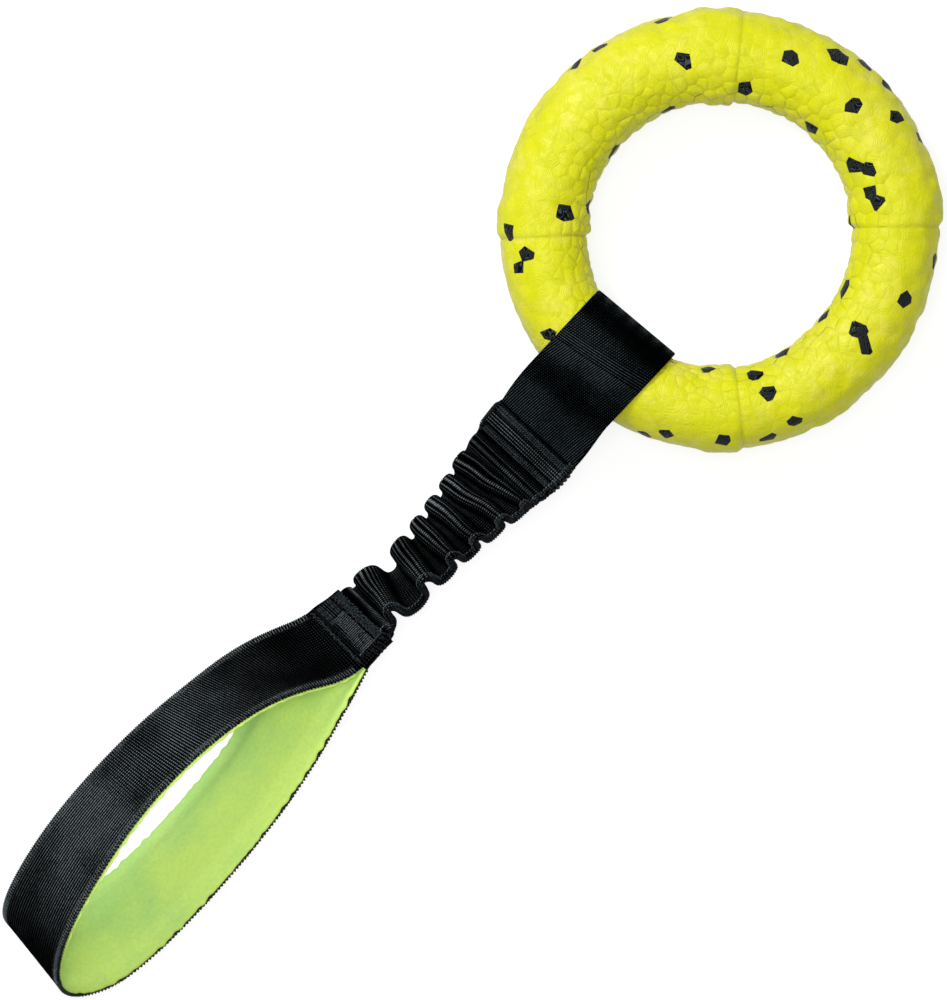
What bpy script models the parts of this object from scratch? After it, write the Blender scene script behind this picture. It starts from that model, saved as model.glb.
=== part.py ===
"""A tug ring for dogs: a moulded foam ring, a webbing loop sewn to a gathered
elastic sleeve, and a padded hand loop, lying flat as it is laid on a floor.

Metres, +Z up. +X runs along the strap from the hand loop to the ring. The
origin is under the middle of the whole length, on the floor, in line with the
middle of the ring. The strap is rolled about its own length between the ring,
which lies flat, and the hand loop, which leans on one edge.
"""

import math

import bmesh
import bpy
import numpy as np
from mathutils import Vector

# Ring
ring_radius = 0.0665
tube_radius = 0.0160
tube_sides = 20
collar_count = 4
collar_width = 0.0140
collar_rise = 0.0015
collar_ramp = 0.0012
plain_stations = 11

# Webbing and cloth
webbing_width = 0.0380
ring_webbing_thickness = 0.0010
handle_webbing_thickness = 0.0012
padding_thickness = 0.0015
lining_thickness = 0.0007
lining_inset = 0.0004
sleeve_thickness = 0.0007
elastic_thickness = 0.0010
elastic_width = 0.0180
thread_width = 0.0008
thread_height = 0.0004
layer_gap = 0.0003

# Loop round the ring
loop_gap = 0.0005
loop_slack = 0.0015
web_span = 0.0375

# Lengths along the strap, from the ring to the far end of the hand loop
upper_joint_length = 0.0186
gathered_length = 0.0724
lower_joint_length = 0.0160
handle_length = 0.1705
taper_length = 0.0030
tail_inset = 0.0010

# Folds of the gathered sleeve
fold_height = 0.0050
fold_squareness = 0.86
steps_per_side_of_fold = 7
fold_shares = (0.085, 0.155, 0.225, 0.300, 0.372, 0.445, 0.518, 0.600, 0.682, 0.800, 0.918)
fold_height_shares = (0.90, -0.95, 1.0, -1.0, 1.0, -1.0, 1.0, -1.05, 1.05, -1.40, 1.45)
fold_lean = 0.22
seam_width = 0.0009

# Hand loop
loop_height = 0.0460
loop_side = 0.0206
floor_gap = 0.0004
drawn_length = 0.0200
drawn_width_share = 0.92
handle_steps = 64
handle_parts = 3
lining_start = 0.0050
padding_start = 0.0080
padding_ramp = 0.0090
seam_margin = 0.0032

# Stitching of the two sewn joints
stitch_margin = 0.0026
bartack_length = 0.0045
bartack_pitch = 0.0024
bartack_width = 0.0009

# Worked out from the sizes above
full_turn = 2.0 * math.pi
ring_reach = ring_radius + tube_radius
axis_height = tube_radius + collar_rise
half_webbing = webbing_width / 2
web_reach = ring_radius + web_span
strap_reach = (
    web_reach + upper_joint_length + gathered_length + lower_joint_length + handle_length
)
ring_x = (ring_reach + strap_reach) / 2 - ring_reach
upper_start = ring_x - web_reach
upper_end = upper_start - upper_joint_length
lower_start = upper_end - gathered_length
lower_end = lower_start - lower_joint_length
handle_end = lower_end - handle_length
elastic_side = elastic_thickness / 2
tail_side = elastic_side + layer_gap
upper_ply_side = tail_side + ring_webbing_thickness + layer_gap
lower_ply_side = tail_side + handle_webbing_thickness + layer_gap

# Roll of the strap about its length in degrees, and its sideways place
roll_places = (
    handle_end,
    lower_end,
    lower_start,
    lower_start + gathered_length * 0.5,
    upper_end,
    upper_start,
    ring_x - ring_reach,
    ring_x,
)
roll_degrees = (33.0, 33.0, 36.0, 26.0, 15.0, 10.0, 0.0, 0.0)
side_shares = (0.0, -0.012, -0.040, -0.080, -0.088, -0.058, -0.046, -0.046)

# Width of the sleeve with its edge seams, as shares of the webbing's width
width_places = (
    lower_end,
    lower_start - lower_joint_length * 0.4,
    lower_start + gathered_length * 0.06,
    lower_start + gathered_length * 0.33,
    lower_start + gathered_length * 0.57,
    lower_start + gathered_length * 0.73,
    lower_start + gathered_length * 0.88,
    upper_end + upper_joint_length * 0.15,
    upper_start,
)
sleeve_width_shares = (0.90, 0.88, 0.62, 0.59, 0.67, 0.75, 0.86, 0.99, 1.03)

# Hand loop, from the joint out along the upper band and back along the lower band:
# length share, side share, height share, roll and yaw in degrees
upper_band_shares = (
    (0.117, 0.33, 0.270, 40.5, 0.0),
    (0.258, 0.705, 0.560, 52.0, 0.0),
    (0.434, 0.93, 0.840, 52.0, 0.0),
    (0.610, 0.96, 0.930, 48.5, 0.0),
    (0.786, 0.80, 0.880, 42.5, 0.0),
    (0.909, 0.53, 0.720, 38.0, 2.0),
)
far_end_shares = (0.981, 0.05, 0.400, 28.0, 7.0)
lower_band_shares = (
    (0.914, -0.50, 0.070, 27.0, 3.0),
    (0.815, -0.675, 0.000, 27.0, 0.0),
    (0.668, -0.73, 0.000, 28.0, 0.0),
    (0.463, -0.67, 0.000, 30.0, 0.0),
    (0.317, -0.55, 0.010, 32.0, 0.0),
    (0.188, -0.36, 0.060, 33.0, 0.0),
    (0.082, -0.16, 0.110, 34.0, 0.0),
)


def clear_scene():
    for thing in list(bpy.data.objects):
        bpy.data.objects.remove(thing, do_unlink=True)


def material(name, colour, roughness, metallic=0.0):
    """A Principled material with one colour, roughness and metallic value."""
    made = bpy.data.materials.new(name)
    made.use_nodes = True
    shader = made.node_tree.nodes["Principled BSDF"]
    shader.inputs["Base Color"].default_value = (*colour, 1.0)
    shader.inputs["Roughness"].default_value = roughness
    shader.inputs["Metallic"].default_value = metallic
    made.diffuse_color = (*colour, 1.0)
    return made


def spline(places, values, clamped=False):
    """A smooth curve through rows of values at rising places, as a function of place.

    The ends are free, or level where clamped is set.
    """
    t = np.asarray(places, float)
    v = np.asarray(values, float)
    count = len(t)
    matrix = np.zeros((count, count))
    right = np.zeros_like(v)
    gaps = np.diff(t)
    slopes = ((v[1:] - v[:-1]).T / gaps).T
    for i in range(1, count - 1):
        matrix[i, i - 1] = gaps[i]
        matrix[i, i] = 2 * (gaps[i - 1] + gaps[i])
        matrix[i, i + 1] = gaps[i - 1]
        right[i] = 3 * (gaps[i] * slopes[i - 1] + gaps[i - 1] * slopes[i])
    if clamped:
        matrix[0, 0] = matrix[-1, -1] = 1
    else:
        matrix[0, 0:2] = (2, 1)
        matrix[-1, -2:] = (1, 2)
        right[0] = 3 * slopes[0]
        right[-1] = 3 * slopes[-1]
    tangents = np.linalg.solve(matrix, right)

    def at(place):
        i = int(np.clip(np.searchsorted(t, place) - 1, 0, count - 2))
        u = (place - t[i]) / gaps[i]
        start = (2 * u**3 - 3 * u**2 + 1) * v[i] + (u**3 - 2 * u**2 + u) * gaps[i] * tangents[i]
        return start + (3 * u**2 - 2 * u**3) * v[i + 1] + (u**3 - u**2) * gaps[i] * tangents[i + 1]

    return at


strap_roll = spline(roll_places[:-1], roll_degrees[:-1], clamped=True)
strap_side = spline(roll_places[:-1], side_shares[:-1], clamped=True)
sleeve_share = spline(width_places, sleeve_width_shares, clamped=True)


def roll_at(x):
    return math.radians(strap_roll(x)) if x < roll_places[-2] else 0.0


def side_at(x):
    share = strap_side(x) if x < roll_places[-2] else side_shares[-1]
    return float(share) * webbing_width


def strap_point(x, across, out):
    """The point at a place along the strap, across its width and out from its middle plane."""
    roll = roll_at(x)
    y = side_at(x) - across * math.cos(roll) + out * math.sin(roll)
    z = axis_height + across * math.sin(roll) + out * math.cos(roll)
    return Vector((x, y, z))


def ease(share):
    share = min(max(share, 0.0), 1.0)
    return share * share * (3 - 2 * share)


def sweep(rows):
    """One closed solid through rows of points that each go once round its section.

    Both faces of a strap are split along like diagonals, so that its layers stay parallel
    where it twists.
    """
    count = len(rows[0])
    half = count // 2
    points = [p for row in rows for p in row]
    faces = []
    for r in range(len(rows) - 1):
        for i in range(count):
            j = (i + 1) % count
            a, b = r * count + i, r * count + j
            d, c = a + count, b + count
            faces += [(a, b, c), (a, c, d)] if i < half else [(a, b, d), (b, c, d)]
    last = (len(rows) - 1) * count
    for i in range(half - 1):
        k = count - 1 - i
        faces.append((i, k, k - 1, i + 1))
        faces.append((last + i, last + i + 1, last + k - 1, last + k))
    return points, faces


def section(place, inner, outer, acrosses):
    """Points round a strap's section: along its outer face and back along its inner one."""
    return [place(a, outer) for a in acrosses] + [place(a, inner) for a in reversed(acrosses)]


def even(half_width, parts=1, middle=0.0):
    """Places across a strap from one edge to the other."""
    return [middle + half_width * (2 * i / parts - 1) for i in range(parts + 1)]


def add_piece(name, solid, finish, frame, sharp_degrees=40.0):
    """Makes one object from a solid in world places, with its origin at its frame."""
    points, faces = solid
    mesh = bpy.data.meshes.new(name)
    mesh.from_pydata([p - frame.location for p in points], [], faces)
    shaped = bmesh.new()
    shaped.from_mesh(mesh)
    if shaped.calc_volume(signed=True) < 0:
        bmesh.ops.reverse_faces(shaped, faces=shaped.faces)
    shaped.to_mesh(mesh)
    shaped.free()
    mesh.shade_smooth()
    mesh.set_sharp_from_angle(angle=math.radians(sharp_degrees))
    mesh.materials.append(finish)
    piece = bpy.data.objects.new(name, mesh)
    piece.parent = frame
    bpy.context.collection.objects.link(piece)
    return piece


def add_frame(name, place):
    frame = bpy.data.objects.new(name, None)
    frame.location = place
    bpy.context.collection.objects.link(frame)
    return frame


def ring_stations():
    """Turns round the ring in radians, with the tube's extra radius at each."""
    half = collar_width / 2 / ring_radius
    ramp = collar_ramp / ring_radius
    quarter = full_turn / collar_count
    stations = []
    for c in range(collar_count):
        middle = quarter * (c + 0.5)
        stations.append((middle - half - ramp, 0.0))
        stations += [(middle + half * s, collar_rise) for s in (-1, 0, 1)]
        stations.append((middle + half + ramp, 0.0))
        run = quarter - 2 * (half + ramp)
        for i in range(plain_stations):
            stations.append((middle + half + ramp + run * (i + 1) / (plain_stations + 1), 0.0))
    return stations


def foam_ring_solid():
    """The moulded ring: a tube with flats at its top and bottom and four raised collars."""
    stations = ring_stations()
    points = []
    faces = []
    for turn, rise in stations:
        corner = (tube_radius + rise) / math.cos(math.pi / tube_sides)
        for i in range(tube_sides):
            angle = full_turn * (i + 0.5) / tube_sides - math.pi / 2
            out = ring_radius + corner * math.cos(angle)
            height = axis_height + corner * math.sin(angle)
            points.append(Vector((ring_x + out * math.cos(turn), out * math.sin(turn), height)))
    count = len(stations)
    for r in range(count):
        for i in range(tube_sides):
            j = (i + 1) % tube_sides
            s = (r + 1) % count
            faces.append(
                (r * tube_sides + i, s * tube_sides + i, s * tube_sides + j, r * tube_sides + j)
            )
    return points, faces


def loop_place(angle, across, out):
    """A point of the webbing that lies round the tube, at an angle up from the ring's middle."""
    y = side_at(ring_x) - across
    slack = loop_slack * (1 - (across / half_webbing) ** 2) * max(0.0, math.cos(angle)) ** 2
    reach = tube_radius + loop_gap + slack + out
    from_middle = ring_radius - reach * math.cos(angle)
    x = ring_x - math.sqrt(from_middle**2 - y**2)
    return Vector((x, y, axis_height + reach * math.sin(angle)))


def ring_webbing_solid():
    """One strap that goes from the joint over the tube, through the ring and back under it."""
    acrosses = even(half_webbing, 6)
    thickness = ring_webbing_thickness
    wrap_steps = 20
    web_steps = 6
    tail_x = upper_end + taper_length + tail_inset
    reach = tube_radius + loop_gap + thickness / 2
    away = math.hypot(web_span, tail_side)
    touch = math.pi - math.atan2(tail_side, web_span) - math.acos(reach / away)

    def web_row(share, side):
        def place(across, out):
            start = loop_place(side * touch, across, out)
            joint = strap_point(upper_start, across, side * (tail_side + out))
            mixed = start.lerp(joint, share)
            roll = roll_at(mixed.x)
            flat_y = side_at(mixed.x) - across
            height = mixed.z - axis_height
            if mixed.x < ring_x - ring_reach:
                level = (start.z - axis_height) * (1 - share) + side * (tail_side + out) * share
                flat_y = side_at(mixed.x) - across * math.cos(roll) + level * math.sin(roll)
                height = across * math.sin(roll) + level * math.cos(roll)
            return Vector((mixed.x, flat_y, axis_height + height))

        return section(place, 0.0, thickness, acrosses)

    def tail_row(x, side):
        place = lambda across, out: strap_point(x, across, side * (tail_side + out))
        return section(place, 0.0, thickness, acrosses)

    def wrap_row(angle):
        place = lambda across, out: loop_place(angle, across, out)
        return section(place, 0.0, thickness, acrosses)

    rows = [tail_row(tail_x, 1), tail_row((tail_x + upper_start) / 2, 1)]
    rows += [web_row(1 - i / web_steps, 1) for i in range(web_steps)]
    rows += [wrap_row(touch * (1 - 2 * i / wrap_steps)) for i in range(wrap_steps + 1)]
    rows += [web_row((i + 1) / web_steps, -1) for i in range(web_steps)]
    rows += [tail_row((tail_x + upper_start) / 2, -1), tail_row(tail_x, -1)]
    return sweep(rows)


def taper_places(start, away):
    """Stations through the short stretch where the plies close in beside a joint."""
    return [(start + away * taper_length * i / 3, 0.0) for i in range(4)]


def fold_line():
    """The sleeve's middle line from the upper joint to the lower one: x, out, and its normal."""
    places = [upper_end] + [upper_end - gathered_length * s for s in fold_shares] + [lower_start]
    heights = [0.0] + [fold_height * s for s in fold_height_shares] + [0.0]
    steps = steps_per_side_of_fold
    line = [(upper_start, 0.0), ((upper_start + upper_end) / 2, 0.0)]
    line += reversed(taper_places(upper_end, 1)[1:])
    for k in range(len(places) - 1):
        first_or_last = k in (0, len(places) - 2)
        squareness = fold_squareness * (0.4 if first_or_last else 1.0)
        for i in range(steps):
            u = i / steps
            run = u + squareness * math.sin(full_turn * u) / full_turn
            level = (1 + math.cos(math.pi * u)) / 2
            x = places[k] + (places[k + 1] - places[k]) * run
            line.append((x, heights[k] * level + heights[k + 1] * (1 - level)))
    line += taper_places(lower_start, -1)
    line += [((lower_start + lower_end) / 2, 0.0), (lower_end, 0.0)]
    stations = []
    for i, (x, out) in enumerate(line):
        before = line[max(i - 1, 0)]
        after = line[min(i + 1, len(line) - 1)]
        dx = after[0] - before[0]
        dn = after[1] - before[1]
        size = math.hypot(dx, dn)
        stations.append((x, out, dn / size, -dx / size))
    return stations


def lean_at(x):
    """How far the folds lean along the strap for each unit across it."""
    share = (upper_end - x) / gathered_length
    if not 0 < share < 1:
        return 0.0
    return fold_lean * math.cos(math.pi * share) * min(1.0, 8 * share, 8 * (1 - share))


def fold_point(station, across, offset):
    """A point beside the folded middle line, across the sleeve and off its middle surface."""
    x, out, normal_x, normal_out = station
    place = strap_point(x + normal_x * offset, across, out + normal_out * offset)
    place.x += lean_at(x) * across
    return place


def ply_side(x):
    """How far a sleeve ply's inner face lies from the middle surface."""
    upper = ease((x - upper_end) / taper_length)
    lower = ease((lower_start - x) / taper_length)
    return tail_side + (upper_ply_side - tail_side) * upper + (lower_ply_side - tail_side) * lower


def sleeve_half_width(x):
    return float(sleeve_share(x)) * half_webbing


def sleeve_solid(side):
    """One ply of the sleeve, on the upper side (1) or the lower side (-1) of the elastic."""
    rows = []
    for station in fold_line():
        inner = ply_side(station[0])
        half = sleeve_half_width(station[0]) - seam_width - layer_gap
        place = lambda across, out, s=station: fold_point(s, across, side * out)
        rows.append(section(place, inner, inner + sleeve_thickness, even(half, 2)))
    return sweep(rows)


def sleeve_seam_solid(side):
    """The sewn edge that closes the two plies along one side of the gathered stretch."""
    rows = []
    for station in fold_line():
        x = station[0]
        if not lower_start - taper_length <= x <= upper_end + taper_length:
            continue
        outer = ply_side(x) + sleeve_thickness
        middle = side * (sleeve_half_width(x) - seam_width / 2)
        place = lambda across, out, s=station: fold_point(s, across, out)
        rows.append(section(place, -outer, outer, even(seam_width / 2, 1, middle)))
    return sweep(rows)


def elastic_solid():
    """The rubber strap between the plies, sewn into both joints."""
    rows = []
    for station in fold_line()[1:-1]:
        place = lambda across, out, s=station: fold_point(s, across, out)
        rows.append(section(place, -elastic_side, elastic_side, even(elastic_width / 2)))
    return sweep(rows)


def rest_height(roll):
    """The height of the hand loop's middle line where its lower edge lies on the floor."""
    turn = math.radians(roll)
    return floor_gap + half_webbing * math.sin(turn) + handle_webbing_thickness * math.cos(turn)


def handle_controls():
    """Points of the hand loop's path, each with its roll and yaw, from joint to joint."""
    controls = []
    for side, stations in ((1, upper_band_shares), (0, (far_end_shares,)), (-1, lower_band_shares)):
        for along, aside, up, roll, yaw in stations:
            x = lower_end - handle_length * along
            z = rest_height(roll) + loop_height * up
            controls.append((x, loop_side * aside, z, roll, yaw))
    joint_roll = float(strap_roll(lower_end))
    first = strap_point(lower_end, 0.0, tail_side)
    last = strap_point(lower_end, 0.0, -tail_side)
    return [(*first, joint_roll, 0.0)] + controls + [(*last, joint_roll, 0.0)]


def handle_path():
    """Even stations along the hand loop: place, across and outward directions, and distance."""
    controls = np.array(handle_controls())
    places = np.concatenate([[0], np.cumsum(np.linalg.norm(np.diff(controls[:, :3], axis=0), axis=1))])
    lead = tail_inset
    start = controls[0] + np.array([lead, 0, 0, 0, 0])
    end = controls[-1] + np.array([lead, 0, 0, 0, 0])
    knots = np.concatenate([[-lead], places, [places[-1] + lead]])
    curve = spline(knots, np.vstack([start, controls, end]))
    fine = np.linspace(0, places[-1], 12 * handle_steps + 1)
    samples = np.array([curve(t) for t in fine])
    run = np.concatenate([[0], np.cumsum(np.linalg.norm(np.diff(samples[:, :3], axis=0), axis=1))])
    stations = []
    for distance in np.linspace(0, run[-1], handle_steps + 1):
        t = float(np.interp(distance, run, fine))
        step = places[-1] / (40 * handle_steps)
        here = curve(t)
        ahead = Vector((curve(t + step) - curve(t - step))[:3]).normalized()
        roll = math.radians(here[3])
        yaw = math.radians(here[4])
        across = Vector((
            -math.sin(yaw) * math.cos(roll),
            -math.cos(yaw) * math.cos(roll),
            math.sin(roll),
        ))
        across = (across - ahead * across.dot(ahead)).normalized()
        stations.append((Vector(here[:3]), across, ahead.cross(across), distance))
    return stations, float(run[-1])


def loop_half_width(distance, length):
    """Half the loop's width, which the seam at the joint draws in a little."""
    share = ease(min(distance, length - distance) / drawn_length)
    return half_webbing * (drawn_width_share + (1 - drawn_width_share) * share)


def handle_webbing_solid():
    """The hand loop's outer strap, with both of its tails in the joint."""
    stations, length = handle_path()
    tail_x = lower_start - taper_length - tail_inset
    tail_half = sleeve_half_width(lower_start - lower_joint_length * 0.5) - seam_width

    def tail_row(x, side):
        narrowing = ease(2 * (x - lower_end) / lower_joint_length)
        joint_half = loop_half_width(0.0, length)
        half = joint_half + (tail_half - joint_half) * narrowing
        place = lambda across, out: strap_point(x, across, side * (tail_side + out))
        return section(place, 0.0, handle_webbing_thickness, even(half, handle_parts))

    tail_places = [tail_x + (lower_end - tail_x) * i / 4 for i in range(4)]
    rows = [tail_row(x, 1) for x in tail_places]
    for place, across, outward, distance in stations:
        at = lambda a, out, p=place, c=across, o=outward: p + c * a + o * out
        acrosses = even(loop_half_width(distance, length), handle_parts)
        rows.append(section(at, 0.0, handle_webbing_thickness, acrosses))
    rows += [tail_row(x, -1) for x in reversed(tail_places)]
    return sweep(rows)


def padding_room(distance, length):
    """How far the lining stands off the webbing to make room for the padding."""
    along = min(distance, length - distance)
    return (padding_thickness + layer_gap) * ease((along - padding_start) / padding_ramp)


def handle_layer_solid(layer):
    """A layer along the hand loop, clear of the joint. layer gives a station's section.

    It takes a function that places a point across and out from the loop's middle line, the
    distance along the loop and its length, and gives nothing where the layer is missing.
    """
    stations, length = handle_path()
    rows = []
    for place, across, outward, distance in stations:
        at = lambda a, out, p=place, c=across, o=outward: p + c * a + o * out
        row = layer(at, distance, length)
        if row:
            rows.append(row)
    return sweep(rows)


def padding_section(at, distance, length):
    room = padding_room(distance, length)
    if room < 2 * layer_gap:
        return None
    half = loop_half_width(distance, length) - seam_margin
    return section(at, -room, -layer_gap, even(half, handle_parts))


def lining_section(at, distance, length):
    if not lining_start <= distance <= length - lining_start:
        return None
    room = padding_room(distance, length) + layer_gap
    half = loop_half_width(distance, length)
    edge = half - lining_inset
    shoulder = half - seam_margin + layer_gap
    outline = [(-edge, layer_gap)]
    outline += [(across, room) for across in even(shoulder, handle_parts)]
    outline += [(edge, layer_gap)]
    outer = [at(a, -off) for a, off in outline]
    inner = [at(a, -off - lining_thickness) for a, off in reversed(outline)]
    return outer + inner


def seam_section(edge):
    """The section of the sewn row near one edge of the hand loop, on its outer face."""
    low = handle_webbing_thickness + layer_gap

    def layer(at, distance, length):
        if not lining_start <= distance <= length - lining_start:
            return None
        middle = edge * (loop_half_width(distance, length) - seam_margin)
        return section(at, low, low + thread_height, even(thread_width / 2, 1, middle))

    return layer


def thread_solid(x_lines, across_lines, filled, side, surface):
    """A flat pattern of thread on one face of a joint, from the filled cells of a grid."""
    low = surface + layer_gap
    levels = (low, low + thread_height)
    rows = len(across_lines)
    layer = len(x_lines) * rows
    points = [
        strap_point(x, across, side * level)
        for level in levels
        for x in x_lines
        for across in across_lines
    ]
    faces = []
    for i, j in sorted(filled):
        corners = (i * rows + j, (i + 1) * rows + j, (i + 1) * rows + j + 1, i * rows + j + 1)
        faces.append(corners)
        faces.append(tuple(c + layer for c in reversed(corners)))
        beside = ((i, j - 1), (i + 1, j), (i, j + 1), (i - 1, j))
        for k, cell in enumerate(beside):
            if cell not in filled:
                a, b = corners[k], corners[(k + 1) % 4]
                faces.append((b, a, a + layer, b + layer))
    used = sorted({p for face in faces for p in face})
    place = {p: i for i, p in enumerate(used)}
    return [points[p] for p in used], [tuple(place[p] for p in face) for face in faces]


def box_stitch_solid(start, end, half_width, surface, side, cross_shares=()):
    """Rows across the joint joined by a row along each side."""
    first = start - stitch_margin
    last = end + stitch_margin
    middles = [first] + [first - (first - last) * s for s in cross_shares] + [last]
    x_lines = [x + e * thread_width / 2 for x in middles for e in (1, -1)]
    outer = half_width - stitch_margin
    across_lines = [-outer, -outer + thread_width, outer - thread_width, outer]
    filled = {(i, j) for i in range(0, len(x_lines) - 1, 2) for j in range(3)}
    filled |= {(i, j) for i in range(len(x_lines) - 1) for j in (0, 2)}
    return thread_solid(x_lines, across_lines, filled, side, surface)


def bartack_solid(x, half_width, surface, side):
    """A band of threads that run along the strap, each turning back into the next."""
    count = int((2 * half_width - 2 * stitch_margin) // bartack_pitch)
    x_lines = [x + bartack_length * s for s in (0.5, 0.4, -0.4, -0.5)]
    across_lines = []
    for i in range(count):
        across = bartack_pitch * (i - (count - 1) / 2)
        across_lines += [across - bartack_width / 2, across + bartack_width / 2]
    filled = {(i, 2 * j) for i in range(3) for j in range(count)}
    filled |= {(0 if j % 2 else 2, 2 * j + 1) for j in range(count - 1)}
    return thread_solid(x_lines, across_lines, filled, side, surface)


def build():
    clear_scene()
    foam = material("bead_foam", (0.76, 0.89, 0.02), 0.55)
    webbing = material("black_webbing", (0.012, 0.013, 0.015), 0.75)
    cloth = material("black_sleeve_cloth", (0.010, 0.011, 0.013), 0.8)
    rubber = material("elastic_rubber", (0.55, 0.53, 0.48), 0.7)
    fleece = material("green_lining", (0.45, 0.70, 0.16), 0.95)
    pad = material("grey_padding", (0.25, 0.25, 0.26), 0.95)
    thread = material("black_thread", (0.03, 0.032, 0.035), 0.6)

    middle = Vector((ring_x, 0.0, axis_height))
    handle = add_frame("handle_frame", Vector((lower_end, side_at(lower_end), axis_height)))
    fold = add_frame("lower_fold_axis", Vector((lower_start, side_at(lower_start), axis_height)))
    sleeve = add_frame("sleeve_frame", Vector((upper_end, side_at(upper_end), axis_height)))
    strap = add_frame("upper_fold_axis", Vector((upper_end, side_at(upper_end), axis_height)))
    ring = add_frame("ring_middle", middle)

    add_piece("foam_ring", foam_ring_solid(), foam, ring)
    add_piece("ring_webbing", ring_webbing_solid(), webbing, strap)
    add_piece("sleeve_front", sleeve_solid(1), cloth, sleeve)
    add_piece("sleeve_back", sleeve_solid(-1), cloth, sleeve)
    add_piece("sleeve_seam_near", sleeve_seam_solid(1), thread, sleeve)
    add_piece("sleeve_seam_far", sleeve_seam_solid(-1), thread, sleeve)
    add_piece("elastic_core", elastic_solid(), rubber, fold)
    add_piece("handle_webbing", handle_webbing_solid(), webbing, handle)

    add_piece("handle_padding", handle_layer_solid(padding_section), pad, handle)
    add_piece("handle_lining", handle_layer_solid(lining_section), fleece, handle)
    add_piece("handle_seam_near", handle_layer_solid(seam_section(1)), thread, handle)
    add_piece("handle_seam_far", handle_layer_solid(seam_section(-1)), thread, handle)

    tack_room = bartack_length + 2 * thread_width
    upper_half = sleeve_half_width((upper_start + upper_end) / 2) - seam_width
    lower_half = sleeve_half_width((lower_start + lower_end) / 2) - seam_width
    joints = (
        ("upper", strap, upper_start, upper_end + taper_length, upper_half, upper_ply_side, (0.5,)),
        ("lower", handle, lower_start - taper_length, lower_end, lower_half, lower_ply_side, ()),
    )
    for joint, frame, start, end, half, ply, cross_shares in joints:
        surface = ply + sleeve_thickness
        for face, side in (("front", 1), ("back", -1)):
            box = box_stitch_solid(start, end + tack_room, half, surface, side, cross_shares)
            add_piece(f"{joint}_box_stitch_{face}", box, thread, frame)
            tack = bartack_solid(end + tack_room / 2, half, surface, side)
            add_piece(f"{joint}_bartack_{face}", tack, thread, frame)


build()
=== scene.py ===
# %% [markdown]
# # A tug ring for a dog
#
# The toy is a moulded foam ring, a webbing strap round it, a gathered elastic sleeve and a
# padded hand loop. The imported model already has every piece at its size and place. This
# lesson gives each piece the surface that it has in a photograph taken from straight above.

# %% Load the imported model
import math

import bmesh
import bpy
import numpy as np
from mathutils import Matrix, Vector, geometry, noise


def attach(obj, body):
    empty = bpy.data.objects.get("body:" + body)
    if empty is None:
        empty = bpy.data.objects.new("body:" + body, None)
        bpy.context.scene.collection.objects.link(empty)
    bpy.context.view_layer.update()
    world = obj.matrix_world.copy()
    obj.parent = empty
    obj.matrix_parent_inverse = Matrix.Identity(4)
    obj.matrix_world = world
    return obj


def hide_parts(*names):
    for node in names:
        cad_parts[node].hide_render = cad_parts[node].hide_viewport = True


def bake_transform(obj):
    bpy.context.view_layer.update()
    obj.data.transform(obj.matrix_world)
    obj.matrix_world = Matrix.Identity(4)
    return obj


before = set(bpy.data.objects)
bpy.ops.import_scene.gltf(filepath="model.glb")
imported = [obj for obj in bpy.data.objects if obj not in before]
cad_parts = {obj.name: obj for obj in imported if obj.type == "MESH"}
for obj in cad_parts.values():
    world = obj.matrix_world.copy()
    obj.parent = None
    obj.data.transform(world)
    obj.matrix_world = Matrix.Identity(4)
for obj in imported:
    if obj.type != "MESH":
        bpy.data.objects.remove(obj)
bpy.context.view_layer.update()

# %% [markdown]
# ## Sizes
#
# A maker would draw this toy from a few sizes: the ring, the webbing's width, and the lengths
# of the joints and of the hand loop. They are the model's own sizes in metres, written again
# here so that each finished piece lands on the solid that it stands for.

# %% Sizes of the toy
mm = 0.001
ring_radius = 66.5 * mm
tube_radius = 16.0 * mm
collar_rise = 1.5 * mm
webbing_width = 38.0 * mm
ring_webbing_thickness = 1.0 * mm
handle_webbing_thickness = 1.2 * mm
padding_thickness = 1.5 * mm
lining_thickness = 0.7 * mm
sleeve_thickness = 0.7 * mm
elastic_thickness = 1.0 * mm
elastic_width = 18.0 * mm
layer_gap = 0.3 * mm
web_span = 37.5 * mm
upper_joint_length = 18.6 * mm
gathered_length = 72.4 * mm
lower_joint_length = 16.0 * mm
handle_length = 170.5 * mm
taper_length = 3.0 * mm
full_turn = 2.0 * math.pi

half_webbing = webbing_width / 2
ring_reach = ring_radius + tube_radius
axis_height = tube_radius + collar_rise
web_reach = ring_radius + web_span
strap_reach = (
    web_reach + upper_joint_length + gathered_length + lower_joint_length + handle_length
)
upper_flat_length = 13.4 * mm
ring_x = (ring_reach + strap_reach) / 2 - ring_reach
upper_start = ring_x - web_reach
upper_end = upper_start - upper_joint_length
lower_start = upper_end - gathered_length
lower_end = lower_start - lower_joint_length
handle_end = lower_end - handle_length
tail_side = elastic_thickness / 2 + layer_gap
upper_ply_side = tail_side + ring_webbing_thickness + layer_gap
lower_ply_side = tail_side + handle_webbing_thickness + layer_gap
print(f"the strap runs from x {handle_end:.3f} to the ring's middle at x {ring_x:.3f}")

# %% [markdown]
# ## Small helpers for materials
#
# Colours are picked as sRGB hex values, the way a colour picker shows them, and the shader
# wants linear light. One more function adds a node, sets it up and links it, and the last one
# makes the soft patches that every material here has, from foam to thread.


# %% Colour and node helpers
# The kinds of node that most materials need. A Map Range takes, in order, the value, the two
# ends that it comes from and the two that it goes to.
MATH = "ShaderNodeMath"
RANGE = "ShaderNodeMapRange"
NOISE = "ShaderNodeTexNoise"


def linear(hex_colour):
    """A linear colour with alpha from an sRGB hex value."""
    parts = [int(hex_colour[i:i + 2], 16) / 255 for i in (1, 3, 5)]
    return (*[p / 12.92 if p <= 0.04045 else ((p + 0.055) / 1.055) ** 2.4 for p in parts], 1.0)


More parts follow.
